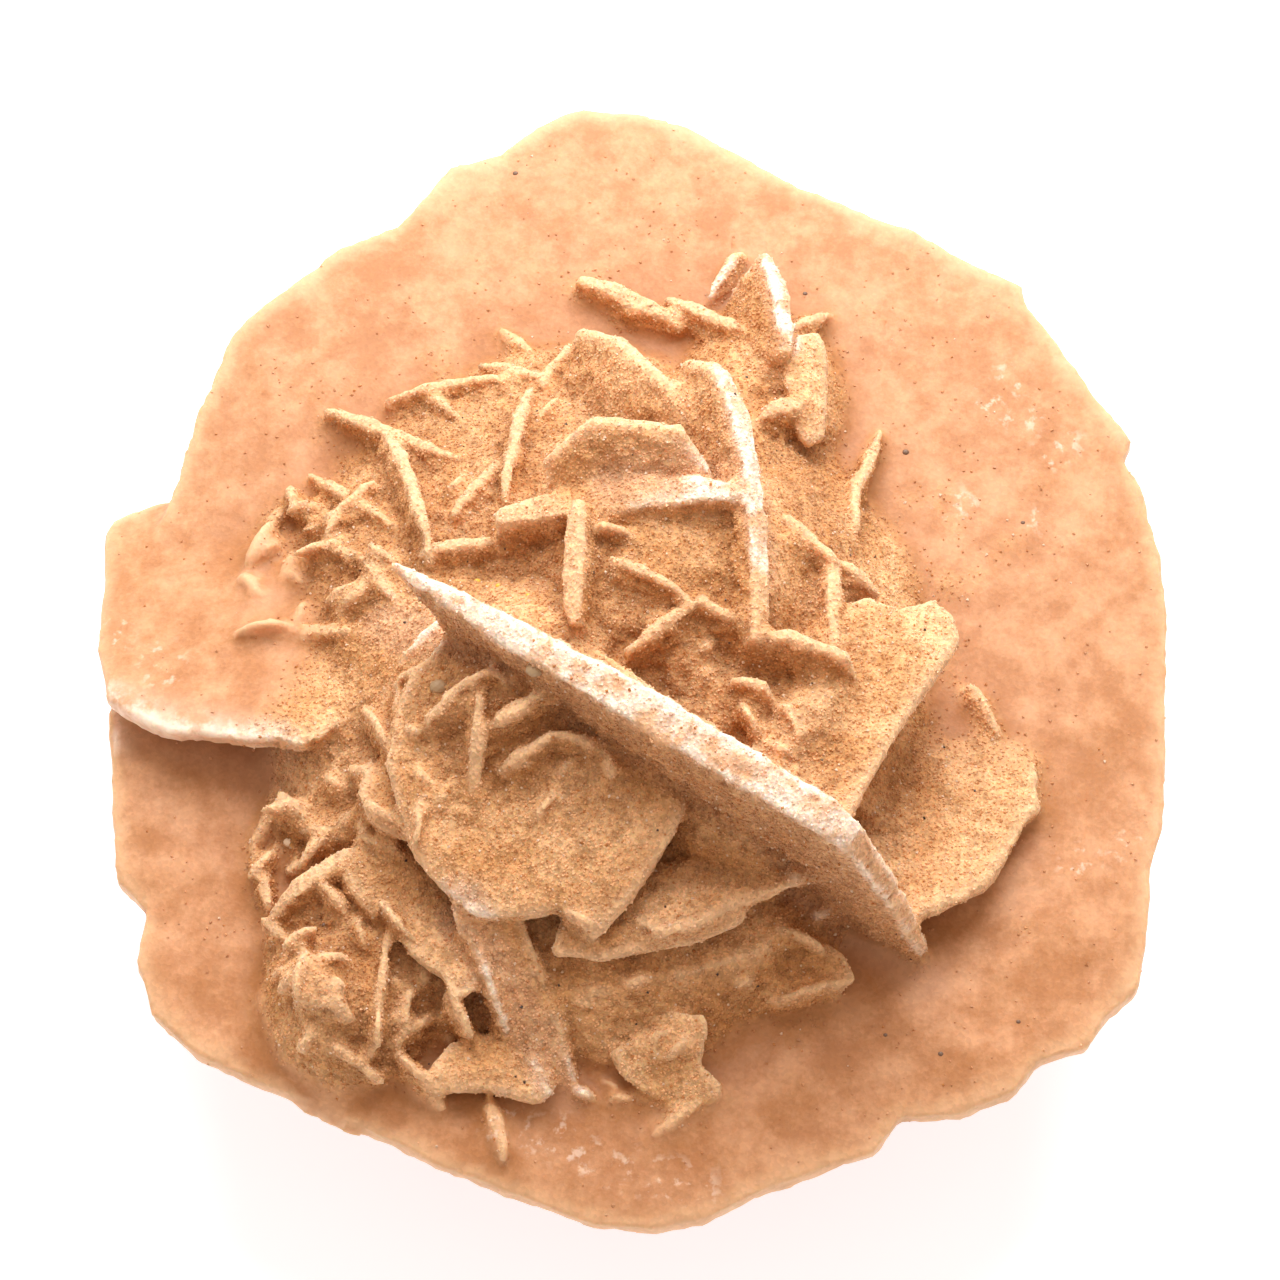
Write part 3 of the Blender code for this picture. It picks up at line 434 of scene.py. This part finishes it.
def weathered_blades():
    """Softens the blades, marks rims, hollows and sandy ground, and roughens them."""
    tree, given = tree_with("weathered blades", [
        ("Softening Rounds", "NodeSocketInt", 3),
        ("Filling Rounds", "NodeSocketInt", 30),
        ("Rim Rounds", "NodeSocketInt", 10),
        ("Hollow Rounds", "NodeSocketInt", 60),
        ("Wobble", "NodeSocketFloat", 0.0005),
        ("Chips", "NodeSocketFloat", 0.0002),
        ("Lumps", "NodeSocketFloat", 0.0002),
        ("Layers", "NodeSocketFloat", 0.0004),
        ("Crumbs", "NodeSocketFloat", 0.0001),
        ("Swells", "NodeSocketFloat", 0.0002),
        ("Dimples", "NodeSocketFloat", 0.0001),
        ("Material", "NodeSocketMaterial", None),
    ])
    place = node(tree, "GeometryNodeInputPosition").outputs[0]
    normal = node(tree, "GeometryNodeInputNormal").outputs[0]
    soft = node(tree, "GeometryNodeSetPosition", {
        "Geometry": given["Geometry"],
        "Position": blurred(tree, place, given["Softening Rounds"]),
    }).outputs[0]

    edge = vectors(tree, "SUBTRACT", place, blurred(tree, place, EDGE_ROUNDS))
    edge = vectors(tree, "DOT_PRODUCT", edge.outputs[0], normal).outputs["Value"]
    loose = reckon(tree, "SUBTRACT", 1.0, stepped(tree, edge, *EDGE_BULGE))
    soft = stored(tree, soft, "loose", loose)
    soft = node(tree, "GeometryNodeSetPosition", {
        "Geometry": soft,
        "Position": blurred(tree, place, given["Filling Rounds"], named(tree, "loose")),
    }).outputs[0]

    near = vectors(tree, "SUBTRACT", place, blurred(tree, place, given["Rim Rounds"]))
    bulge = vectors(tree, "DOT_PRODUCT", near.outputs[0], normal).outputs["Value"]
    soft = stored(tree, soft, "rim", stepped(tree, bulge, *RIM_BULGE))
    climb = node(tree, "ShaderNodeSeparateXYZ", {0: normal}).outputs["Z"]
    soft = stored(tree, soft, "steep", stepped(tree, climb, *FLANK_CLIMB))
    wide = vectors(tree, "SUBTRACT", blurred(tree, place, given["Hollow Rounds"]), place)
    sink = vectors(tree, "DOT_PRODUCT", wide.outputs[0], normal).outputs["Value"]
    soft = stored(tree, soft, "hollow", stepped(tree, sink, *HOLLOW_SINK))
    soft = stored(tree, soft, "proud", stepped(tree, sink, *PROUD_SINK))

    height = node(tree, "ShaderNodeSeparateXYZ", {0: place}).outputs["Z"]
    swing, length, detail = SAND_EDGE
    ragged = rough_noise(tree, place, length, detail).outputs["Fac"]
    ragged = reckon(tree, "MULTIPLY_ADD", ragged, swing, -swing / 2)
    above = reckon(tree, "SUBTRACT", reckon(tree, "ADD", height, ragged), BROAD_RIM_TOP)
    upper = stepped(tree, above, *SAND_ABOVE)
    lower = stepped(tree, above, *SAND_BELOW)
    (east, north), (across, along) = SMOOTH_FACE
    centre = (east * MM + LAYOUT_MIDDLE.x, north * MM + LAYOUT_MIDDLE.y, 0.0)
    away = vectors(tree, "MULTIPLY", place, (1.0, 1.0, 0.0)).outputs[0]
    away = vectors(tree, "SUBTRACT", away, centre).outputs[0]
    away = vectors(tree, "DIVIDE", away, (across * MM, along * MM, 1.0)).outputs[0]
    away = vectors(tree, "LENGTH", away).outputs["Value"]
    upper = reckon(tree, "MULTIPLY", upper, stepped(tree, away, SMOOTH_FADE, 1.0))
    sandy = reckon(tree, "MAXIMUM", upper, lower)
    soft = stored(tree, soft, "sandy", sandy)

    rim = named(tree, "rim")
    sandy = named(tree, "sandy")

    waxy = reckon(tree, "SUBTRACT", 1.0, sandy)
    chipped = reckon(tree, "ADD", rim, CHIPS_ON_FACES)
    ground = reckon(tree, "MULTIPLY", sandy, lessened(tree, rim, SAND_OFF_RIMS))
    sunk = reckon(tree, "MULTIPLY", ground, at_least(tree, named(tree, "hollow"), LUMPS_ON_PROUD))
    slope = reckon(tree, "MULTIPLY", ground, at_least(tree, named(tree, "steep"), LAYERS_ON_LEVEL))
    crumbly = at_least(tree, ground, CRUMBS_ON_WAX)
    bedded = vectors(tree, "MULTIPLY", place, (1.0, 1.0, BEDDING)).outputs[0]
    moves = [
        wandered(tree, place, given["Wobble"], WOBBLE[1], 1.0),
        wandered(tree, place, given["Chips"], CHIPS[1], chipped),
        raised(tree, place, given["Lumps"], *LUMPS[1:], sunk),
        raised(tree, bedded, given["Layers"], *LAYERS[1:], slope),
        raised(tree, place, given["Crumbs"], *CRUMBS[1:], crumbly),
        raised(tree, place, given["Swells"], *SWELLS[1:], waxy),
        raised(tree, place, given["Dimples"], *DIMPLES[1:], waxy),
    ]
    moved = place
    for move in moves:
        moved = vectors(tree, "ADD", moved, move).outputs[0]
    parts = node(tree, "ShaderNodeSeparateXYZ", {0: moved}).outputs
    level = reckon(tree, "MAXIMUM", parts["Z"], 0.0)
    grounded = node(tree, "ShaderNodeCombineXYZ", {0: parts["X"], 1: parts["Y"], 2: level})
    rough = node(
        tree, "GeometryNodeSetPosition", {"Geometry": soft, "Position": grounded.outputs[0]}
    )
    smooth = node(tree, "GeometryNodeSetShadeSmooth", {"Geometry": rough.outputs[0]})
    finished(tree, smooth.outputs[0], given["Material"])
    return tree


def crusted(mesh, name, lines):
    """Marks how near each point is to lines in the plan, by their starts, ends and reach."""
    places = np.empty(3 * len(mesh.vertices))
    mesh.vertices.foreach_get("co", places)
    places = (places.reshape(-1, 3) - np.array(LAYOUT_MIDDLE)) / MM
    crust = np.zeros(len(places))
    for start, end, reach in lines:
        start = np.array(start)
        along = np.array(end) - start
        share = np.clip((places[:, :2] - start) @ along / (along @ along), 0.0, 1.0)
        away = np.linalg.norm(places[:, :2] - start - share[:, None] * along, axis=1)
        crust = np.maximum(crust, np.clip(2 * (1 - away / reach), 0.0, 1.0))
    crust[places[:, 2] < 0.0] = 0.0
    mesh.attributes.new(name, "FLOAT", "POINT").data.foreach_set("value", crust)


def rose_body(material):
    """The whole stone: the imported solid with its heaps, fins and nests under one fine skin."""
    shape = bmesh.new()
    shape.from_mesh(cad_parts["sand_rose"].data)
    bmesh.ops.remove_doubles(shape, verts=shape.verts, dist=1e-6)
    bank_sand(shape)
    set_fins(shape)
    mesh = bpy.data.meshes.new("grown_blades")
    shape.to_mesh(mesh)
    shape.free()
    body = bpy.data.objects.new("grown_blades", in_order(mesh))
    bpy.context.scene.collection.objects.link(body)
    body.data = shaped(body, small_blades(), {
        "Density": SMALL_BLADES / MM ** 2,
        "Half Size": SMALL_BLADE,
        "Seed": 11,
        "Material": material,
    })
    remesh = body.modifiers.new("fine skin", "REMESH")
    remesh.mode = "VOXEL"
    remesh.voxel_size = VOXEL
    body.data = shaped(body, weathered_blades(), {
        "Softening Rounds": SOFTENING_ROUNDS,
        "Filling Rounds": FILLING_ROUNDS,
        "Rim Rounds": RIM_ROUNDS,
        "Hollow Rounds": HOLLOW_ROUNDS,
        "Wobble": WOBBLE[0],
        "Chips": CHIPS[0],
        "Lumps": LUMPS[0],
        "Layers": LAYERS[0],
        "Crumbs": CRUMBS[0],
        "Swells": SWELLS[0],
        "Dimples": DIMPLES[0],
        "Material": material,
    })
    thin = body.modifiers.new("fewer faces", "DECIMATE")
    thin.ratio = BODY_TRIANGLES / (2 * len(body.data.polygons))
    graph = bpy.context.evaluated_depsgraph_get()
    body.data = bpy.data.meshes.new_from_object(body.evaluated_get(graph))
    body.modifiers.clear()
    crusted(body.data, "crust", CRUSTS)
    crusted(body.data, "frost", FROSTS)
    # where shade is painted in the corners between blades
    crusted(body.data, "corner_shade", CORNER_SHADE_LINES)
    return body


def group_with(name, inputs, outputs):
    """A shader node group with those named inputs and outputs."""
    tree = bpy.data.node_groups.new(name, "ShaderNodeTree")
    for label, kind in inputs:
        tree.interface.new_socket(label, in_out="INPUT", socket_type=kind)
    for label, kind in outputs:
        tree.interface.new_socket(label, in_out="OUTPUT", socket_type=kind)
    return tree, tree.nodes.new("NodeGroupInput").outputs, tree.nodes.new("NodeGroupOutput")


def blend(tree, share, first, second):
    """The first colour, with a share of the second."""
    made = node(tree, "ShaderNodeMix", {0: share, 6: first, 7: second}, data_type="RGBA")
    return made.outputs[2]


def tinted(tree, tone, mask, colour, most):
    """The tone with a share of the colour, up to most where the mask is 1."""
    return blend(tree, reckon(tree, "MULTIPLY", mask, most), tone, colour)


def patches(tree, place, length, detail, roughness, none, full):
    """A mask of soft patches about length across."""
    noise = rough_noise(tree, place, length, detail, roughness).outputs["Fac"]
    return stepped(tree, noise, none, full)


SAND = ((0.66, 0.340, 0.148, 1), (0.84, 0.505, 0.268, 1))  # its two tones, dark and light
SAND_PATCHES = (3.2 * MM, 4.0, 0.6, 0.35, 0.65)  # length, detail, roughness, none and full
MOTTLE = ((0.42, 0.180, 0.058, 1), 0.50)  # a colour, and the most of it that shows
MOTTLE_PATCHES = (0.9 * MM, 5.0, 0.7, 0.47, 0.62)
WAX = ((0.46, 0.198, 0.079, 1), (0.62, 0.316, 0.162, 1))  # the bare blades' two tones
WAX_PATCHES = (2.4 * MM, 6.0, 0.7, 0.36, 0.64)
BLUSH = ((0.68, 0.37, 0.21, 1), 0.35)
BLUSH_PATCHES = (2.4 * MM, 4.0, 0.7, 0.54, 0.74)
# painted shade: a darker orange on steep sandy flanks, and the most of it that shows
FLANK_SHADE = ((0.50, 0.205, 0.060, 1), 0.45)
CORNER_SHADE_COLOUR = (0.33, 0.130, 0.040, 1)  # painted shade in those corners
CORNER_SHADE_PATCHES = (0.8 * MM, 5.0, 0.65, 0.38, 0.62)
CORNER_SHADE_SHARE = (0.40, 0.10)  # how much more of it shows in its patches than between, and there
# painted light: a paler tone on proud ground, and the most of it that shows
PROUD_LIGHT = ((0.82, 0.52, 0.31, 1), 0.55)
# painted shade: a dark brown in hollows and crevices, and the most of it that shows
HOLLOW_SHADE = ((0.34, 0.125, 0.034, 1), 0.55)
# rims painted paler: their paler worn gypsum and a painted highlight, and the most that shows
RIM_HIGHLIGHT = ((0.80, 0.53, 0.33, 1), 0.42)
ROSY = (0.60, 0.335, 0.215, 1)  # the crest's bare gypsum
ROSY_SHARE = (-0.25, 0.45)  # what steepness takes from it, and how much shows on the level
WHITE = (0.90, 0.72, 0.60, 1)  # frosted gypsum
WHITE_PATCHES = (1.6 * MM, 4.0, 0.65, 0.36, 0.58)
WHITE_RIM = 0.7  # how much of it shows on crusted rims, on proud level ground and in streaks
WHITE_PROUD = 0.9
WHITE_STREAK = 0.5
STREAK_PATCHES = (0.7 * MM, 3.0, 0.6, 0.54, 0.66)


def desert_tone():
    """The colour of sand and gypsum from its rim, hollow and sandy marks, with painted shade and
    highlights.
    """
    tree, given, result = group_with(
        "desert tone",
        [
            ("Place", "NodeSocketVector"),
            ("Rim", "NodeSocketFloat"),
            ("Hollow", "NodeSocketFloat"),
            ("Proud", "NodeSocketFloat"),
            ("Sandy", "NodeSocketFloat"),
            ("Steep", "NodeSocketFloat"),
            ("Crust", "NodeSocketFloat"),
            ("Frost", "NodeSocketFloat"),
            ("Corner_shade", "NodeSocketFloat"),
        ],
        [("Color", "NodeSocketColor")],
    )
    place = given["Place"]
    sand = blend(tree, patches(tree, place, *SAND_PATCHES), *SAND)
    sand = tinted(tree, sand, patches(tree, place, *MOTTLE_PATCHES), *MOTTLE)
    wax = blend(tree, patches(tree, place, *WAX_PATCHES), *WAX)
    wax = tinted(tree, wax, patches(tree, place, *BLUSH_PATCHES), *BLUSH)
    tone = blend(tree, given["Sandy"], wax, sand)
    # painted shade on the steep sandy flanks
    shaded_flank = reckon(tree, "MULTIPLY", given["Steep"], given["Sandy"])
    tone = tinted(tree, tone, shaded_flank, *FLANK_SHADE)
    # painted shade in the listed corners between blades, patchy
    shade_spread = reckon(tree, "MULTIPLY_ADD", patches(tree, place, *CORNER_SHADE_PATCHES), *CORNER_SHADE_SHARE)
    corner_shade = reckon(tree, "MULTIPLY", given["Corner_shade"], given["Sandy"])
    tone = tinted(tree, tone, corner_shade, CORNER_SHADE_COLOUR, shade_spread)
    # painted light on proud ground
    tone = tinted(tree, tone, given["Proud"], *PROUD_LIGHT)
    # painted shade in the hollows
    tone = tinted(tree, tone, given["Hollow"], *HOLLOW_SHADE)
    # paler rims, partly a painted highlight
    tone = tinted(tree, tone, given["Rim"], *RIM_HIGHLIGHT)
    rosy = reckon(tree, "MULTIPLY_ADD", given["Steep"], *ROSY_SHARE)
    tone = tinted(tree, tone, given["Crust"], ROSY, rosy)
    level = reckon(tree, "MULTIPLY_ADD", given["Steep"], -WHITE_PROUD, WHITE_PROUD)
    level = reckon(tree, "MULTIPLY", level, given["Proud"])
    white = reckon(tree, "MULTIPLY_ADD", given["Rim"], WHITE_RIM, level)
    white = reckon(tree, "MULTIPLY", white, given["Crust"])
    white = reckon(tree, "MULTIPLY", white, patches(tree, place, *WHITE_PATCHES))
    streaks = patches(tree, place, *STREAK_PATCHES)
    streaks = reckon(tree, "MULTIPLY", streaks, given["Frost"])
    white = reckon(tree, "MULTIPLY_ADD", streaks, WHITE_STREAK, white)
    tone = blend(tree, white, tone, WHITE)
    tree.links.new(tone, result.inputs["Color"])
    return tree


def marked(tree, name):
    """A mark of the mesh's points, for a material."""
    return node(tree, "ShaderNodeAttribute", attribute_name=name).outputs["Fac"]


def toned(tree):
    """The desert tone at each point, from the marks on the mesh, and the point's place."""
    made = node(tree, "ShaderNodeGroup", node_tree=desert)
    place = node(tree, "ShaderNodeTexCoord").outputs["Object"]
    tree.links.new(place, made.inputs["Place"])
    for mark in ("Rim", "Hollow", "Proud", "Sandy", "Steep", "Crust", "Frost", "Corner_shade"):
        tree.links.new(marked(tree, mark.lower()), made.inputs[mark])
    return made.outputs["Color"], place


STONE_ROUGHNESS = (0.35, 0.52)  # how much more on sand than on the waxy blades, and on those
SPECKLE = 0.17 * MM  # the width of a grain in the stone
SPECKLE_CONTRAST = (0.30, 0.12)  # in the same way
RELIEF = (0.16 * MM, 3.0, 0.6)  # the finest relief: length, detail, roughness
RELIEF_HEIGHT = 0.07 * MM
RELIEF_DEPTH = (0.65, 0.12)  # in the same way
GLOW_WEIGHT = 0.35  # light passes a little way through gypsum, and comes out warmer
GLOW_COLOURS = (1.0, 0.45, 0.2)
GLOW_REACH = 1.0 * MM
GLOSS = 0.3


def gypsum():
    """Gypsum and cemented sand: grainy and matt on the mounds, waxy on the bare blades."""
    material = bpy.data.materials.new("sandy gypsum")
    material.use_nodes = True
    tree = material.node_tree
    surface = tree.nodes["Principled BSDF"]
    tone, place = toned(tree)
    sandy = marked(tree, "sandy")
    speckle = node(tree, "ShaderNodeTexVoronoi", {"Vector": place, "Scale": 1 / SPECKLE})
    shade = node(tree, "ShaderNodeSeparateColor", {0: speckle.outputs["Color"]}).outputs[0]
    shade = reckon(tree, "SUBTRACT", shade, 0.5)
    contrast = reckon(tree, "MULTIPLY_ADD", sandy, *SPECKLE_CONTRAST)
    shade = reckon(tree, "MULTIPLY_ADD", shade, contrast, 1.0)
    grainy = vectors(tree, "SCALE", tone, scale=shade).outputs[0]
    tree.links.new(grainy, surface.inputs["Base Color"])
    roughness = reckon(tree, "MULTIPLY_ADD", sandy, *STONE_ROUGHNESS)
    tree.links.new(roughness, surface.inputs["Roughness"])
    fine = rough_noise(tree, place, *RELIEF).outputs["Fac"]
    relief = reckon(tree, "ADD", fine, speckle.outputs["Distance"])
    depth = reckon(tree, "MULTIPLY_ADD", sandy, *RELIEF_DEPTH)
    terms = {"Strength": depth, "Distance": RELIEF_HEIGHT, "Height": relief}
    bump = node(tree, "ShaderNodeBump", terms)
    tree.links.new(bump.outputs[0], surface.inputs["Normal"])
    surface.inputs["Subsurface Weight"].default_value = GLOW_WEIGHT
    surface.inputs["Subsurface Radius"].default_value = GLOW_COLOURS
    surface.inputs["Subsurface Scale"].default_value = GLOW_REACH
    surface.inputs["Specular IOR Level"].default_value = GLOSS
    return material


desert = desert_tone()
body = rose_body(gypsum())
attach(body, "root")
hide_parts("sand_rose")


# ---- Sand grains ------------------------------------------------------------------------
# Wind-worn quartz grains, a tenth to a fifth of a millimetre across, cemented on the blades
# and between them where they grew, thick on the mounds and thin on the broad blade.

GRAIN_SIZE = (0.10 * MM, 0.22 * MM)  # across, least and most
GRAIN_SPREAD = (0.55, 1.0)  # the draws that stand for the smallest and the largest grain
GRAIN_STRETCH = (0.75, 1.15)  # a share of the size along each axis, least and most
GRAINS_ON_WAX = 0.015  # how many there are on bare blades, as a share of those on sand
GRAINS_OFF = (("rim", 0.7), ("proud", 0.6))  # what these marks take from them
GRAIN_FLOOR = 0.15 * MM  # none lower than this, which the floor would cut
TONE_SEED = 40.0  # added to a belt's seed for the draw of each grain's tone
GRAIN_BELTS = [  # name, from south, to north, from level, to level, all in mm, and grains per mm2
    ("sand_south", -31, -11.8, 12, 30, 28),
    ("sand_middle", -11.8, 1.0, 12, 30, 28),
    ("sand_north", 1.0, 31, 12, 30, 28),
    ("sand_below_south", -31, 0, -1, 12, 14),
    ("sand_below_north", 0, 31, -1, 12, 14),
]


def scattered_sand():
    """Little eight-sided grains on the sandy ground inside the belt's limits."""
    tree, given = tree_with("scattered sand", [
        ("South", "NodeSocketFloat", 0.0),
        ("North", "NodeSocketFloat", 0.0),
        ("Low", "NodeSocketFloat", 0.0),
        ("High", "NodeSocketFloat", 0.0),
        ("Density", "NodeSocketFloat", 1.0),
        ("Small", "NodeSocketFloat", 0.0001),
        ("Large", "NodeSocketFloat", 0.0002),
        ("Seed", "NodeSocketInt", 1),
        ("Material", "NodeSocketMaterial", None),
    ])
    place = node(tree, "GeometryNodeInputPosition").outputs[0]
    place = node(tree, "ShaderNodeSeparateXYZ", {0: place})
    inside = reckon(tree, "GREATER_THAN", place.outputs["Y"], given["South"])
    for first, second in (
        (given["North"], place.outputs["Y"]),
        (place.outputs["Z"], given["Low"]),
        (given["High"], place.outputs["Z"]),
    ):
        inside = reckon(tree, "MULTIPLY", inside, reckon(tree, "GREATER_THAN", first, second))
    share = at_least(tree, named(tree, "sandy"), GRAINS_ON_WAX)
    clear = reckon(tree, "GREATER_THAN", place.outputs["Z"], GRAIN_FLOOR)
    share = reckon(tree, "MULTIPLY", reckon(tree, "MULTIPLY", share, inside), clear)
    for mark, most in GRAINS_OFF:
        share = reckon(tree, "MULTIPLY", share, lessened(tree, named(tree, mark), most))
    density = reckon(tree, "MULTIPLY", share, given["Density"])
    spots = node(
        tree,
        "GeometryNodeDistributePointsOnFaces",
        {"Mesh": given["Geometry"], "Density": density, "Seed": given["Seed"]},
        distribute_method="RANDOM",
    )
    grain = node(tree, "GeometryNodeMeshUVSphere", {"Segments": 4, "Rings": 2, "Radius": 1.0})
    least, most = GRAIN_STRETCH
    size = chance(tree, *GRAIN_SPREAD, seed=given["Seed"])
    stretch = chance(tree, (least, least, least), (most, most, most), seed=given["Seed"])
    turn = chance(tree, (0.0, 0.0, 0.0), (math.tau, math.tau, math.tau), seed=given["Seed"])
    pick = chance(tree, 0.0, 1.0, seed=reckon(tree, "ADD", given["Seed"], TONE_SEED))
    span = node(tree, "ShaderNodeMapRange", {
        "Value": size,
        "From Min": GRAIN_SPREAD[0],
        "From Max": GRAIN_SPREAD[1],
        "To Min": given["Small"],
        "To Max": given["Large"],
    })
    scale = vectors(tree, "SCALE", stretch, scale=span.outputs[0]).outputs[0]
    scale = vectors(tree, "SCALE", scale, scale=0.5).outputs[0]
    grains = node(tree, "GeometryNodeInstanceOnPoints", {
        "Points": stored(tree, spots.outputs["Points"], "pick", pick),
        "Instance": grain.outputs["Mesh"],
        "Rotation": turn,
        "Scale": scale,
    })
    real = node(tree, "GeometryNodeRealizeInstances", {0: grains.outputs[0]}).outputs[0]
    finished(tree, real, given["Material"])
    return tree


GRAIN_LIGHTNESS = (0.36, 0.86)  # how far grains differ, and the darkest
GRAIN_TONES = [  # rare tones: draws with none and all of them, and the colour
    (0.965, 0.975, (0.72, 0.52, 0.37, 1)),  # pale
    (0.05, 0.04, (0.50, 0.20, 0.06, 1)),  # amber
    (0.002, 0.0015, (0.06, 0.04, 0.03, 1)),  # dark
]
GRAIN_ROUGHNESS = 0.5


def sand():
    """Quartz sand in the tone of the stone under it, with a few pale, amber and dark grains."""
    material = bpy.data.materials.new("quartz sand")
    material.use_nodes = True
    tree = material.node_tree
    surface = tree.nodes["Principled BSDF"]
    # the grains take the stone's tone, painted shade and painted light included
    tone = toned(tree)[0]
    pick = marked(tree, "pick")
    lightness = reckon(tree, "MULTIPLY_ADD", pick, *GRAIN_LIGHTNESS)
    tone = vectors(tree, "SCALE", tone, scale=lightness).outputs[0]
    for none, full, colour in GRAIN_TONES:
        tone = blend(tree, stepped(tree, pick, none, full), tone, colour)
    tree.links.new(tone, surface.inputs["Base Color"])
    surface.inputs["Roughness"].default_value = GRAIN_ROUGHNESS
    return material


scatter = scattered_sand()
quartz_sand = sand()
for number, (name, south, north, low, high, crowd) in enumerate(GRAIN_BELTS):
    ground = bpy.data.objects.new(name, body.data.copy())
    bpy.context.scene.collection.objects.link(ground)
    ground.data = shaped(ground, scatter, {
        "South": south * MM,
        "North": north * MM,
        "Low": low * MM,
        "High": high * MM,
        "Density": crowd / MM ** 2,
        "Small": GRAIN_SIZE[0],
        "Large": GRAIN_SIZE[1],
        "Seed": 5 + number,
        "Material": quartz_sand,
    })
    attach(ground, "root")
    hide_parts("sand_rose")


# ---- Odd grains -------------------------------------------------------------------------
# A few larger grains of other minerals that grew in with the rest: two rounded grey ones, a
# pale one, three yellow specks and a scatter of dark ones, each sunk in the face it sits on.

DARK = (0.17, 0.095, 0.06, 1)
YELLOW = (0.80, 0.47, 0.05, 1)
GREY = (0.42, 0.28, 0.16, 1)
PALE = (0.74, 0.54, 0.38, 1)
ODD_GRAINS = [  # place in the plan, radius, colour
    ((-4.7, -6.9), 0.42, GREY),
    ((-9.1, -6.2), 0.45, GREY),
    ((-16.2, -10.8), 0.28, PALE),
    ((-7.5, 0.0), 0.17, YELLOW),
    ((-6.5, -0.5), 0.15, YELLOW),
    ((-5.1, -1.6), 0.13, YELLOW),
    ((-6.1, 25.0), 0.15, DARK),
    ((12.7, 9.6), 0.18, DARK),
    ((8.0, 18.2), 0.13, DARK),
    ((18.2, 5.9), 0.12, DARK),
    ((13.7, -20.8), 0.14, DARK),
    ((11.2, -19.9), 0.11, DARK),
    ((17.3, -19.2), 0.12, DARK),
    ((-14.4, -15.5), 0.12, DARK),
]
ODD_SHAPE = (1.0, 0.85, 0.7)  # the radius along each axis, as a share
ODD_SINK = 0.25  # how much of the radius its middle lies under the face
ODD_ROUGHNESS = 0.35


def odd_grains():
    """All the odd grains as one mesh, each with its colour kept on its points."""
    shape = bmesh.new()
    shape.from_mesh(body.data)
    ground = BVHTree.FromBMesh(shape)
    shape.clear()
    tint = shape.verts.layers.float_color.new("tint")
    for place, radius, colour in ODD_GRAINS:
        spot = ground_under(ground, *place)
        spot.z -= ODD_SINK * radius * MM
        reach = Matrix.Diagonal((*(Vector(ODD_SHAPE) * radius * MM), 1.0))
        matrix = Matrix.Translation(spot) @ reach
        made = bmesh.ops.create_icosphere(shape, subdivisions=2, radius=1.0, matrix=matrix)
        for vert in made["verts"]:
            vert[tint] = colour
    mesh = bpy.data.meshes.new("odd_grains")
    shape.to_mesh(mesh)
    shape.free()
    return mesh


def odd_mineral():
    """One finish for all of them, coloured from the points."""
    material = bpy.data.materials.new("odd minerals")
    material.use_nodes = True
    tree = material.node_tree
    surface = tree.nodes["Principled BSDF"]
    colour = node(tree, "ShaderNodeAttribute", attribute_name="tint").outputs["Color"]
    tree.links.new(colour, surface.inputs["Base Color"])
    surface.inputs["Roughness"].default_value = ODD_ROUGHNESS
    return material


odd = bpy.data.objects.new("odd_grains", odd_grains())
bpy.context.scene.collection.objects.link(odd)
odd.data.materials.append(odd_mineral())
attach(odd, "root")
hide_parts("sand_rose")


# ---- Floor, light and camera ------------------------------------------------------------
# A white table in a warm, evenly lit room, with one soft window behind the rose and above it.
# The camera looks steeply down from the south, at the middle of the broad blade.

FLOOR_REACH = 3.0
FLOOR_WHITE = (0.9, 0.9, 0.9, 1)
FLOOR_ROUGHNESS = 0.8
FLOOR_GLOW = (0.74, 0.86, 1, 1)  # a little cool light of its own, against the warm room
FLOOR_GLOW_STRENGTH = 0.62
ROOM_LIGHT = (1.0, 0.84, 0.67, 1)
ROOM_STRENGTH = 0.69
WINDOW_PLACE = (0.004, 0.086, 0.120)
WINDOW_AIM = (0, 0, 0.01)
WINDOW_SIZE = 0.15
WINDOW_WATTS = 0.355
CAMERA_RISE = math.radians(66)
CAMERA_DISTANCE = 260 * MM
CAMERA_LENS = 155
CAMERA_SENSOR = 36
CAMERA_NEAR = 0.01

bpy.ops.mesh.primitive_plane_add(size=FLOOR_REACH, location=(0, 0, 0))
floor = bpy.context.object
floor.name = "floor"
white = bpy.data.materials.new("white table")
white.use_nodes = True
table = white.node_tree.nodes["Principled BSDF"].inputs
table["Base Color"].default_value = FLOOR_WHITE
table["Roughness"].default_value = FLOOR_ROUGHNESS
table["Emission Color"].default_value = FLOOR_GLOW
table["Emission Strength"].default_value = FLOOR_GLOW_STRENGTH
floor.data.materials.append(white)

room = bpy.data.worlds.new("soft room")
room.use_nodes = True
room.node_tree.nodes["Background"].inputs["Color"].default_value = ROOM_LIGHT
room.node_tree.nodes["Background"].inputs["Strength"].default_value = ROOM_STRENGTH
bpy.context.scene.world = room

light = bpy.data.lights.new("window light", "AREA")
light.shape = "DISK"
light.size = WINDOW_SIZE
light.energy = WINDOW_WATTS
window = bpy.data.objects.new("window light", light)
window.location = WINDOW_PLACE
window.visible_camera = False
facing = Vector(WINDOW_AIM) - Vector(WINDOW_PLACE)
window.rotation_euler = facing.to_track_quat("-Z", "Y").to_euler()
bpy.context.scene.collection.objects.link(window)

lens = bpy.data.cameras.new("camera")
lens.lens = CAMERA_LENS
lens.sensor_width = CAMERA_SENSOR
lens.clip_start = CAMERA_NEAR
camera = bpy.data.objects.new("camera", lens)
back = Vector((0, -math.cos(CAMERA_RISE), math.sin(CAMERA_RISE)))
camera.location = LAYOUT_MIDDLE + back * CAMERA_DISTANCE
camera.rotation_euler = (-back).to_track_quat("-Z", "Y").to_euler()
bpy.context.scene.collection.objects.link(camera)
bpy.context.scene.camera = camera
bpy.context.scene.view_settings.view_transform = "Standard"
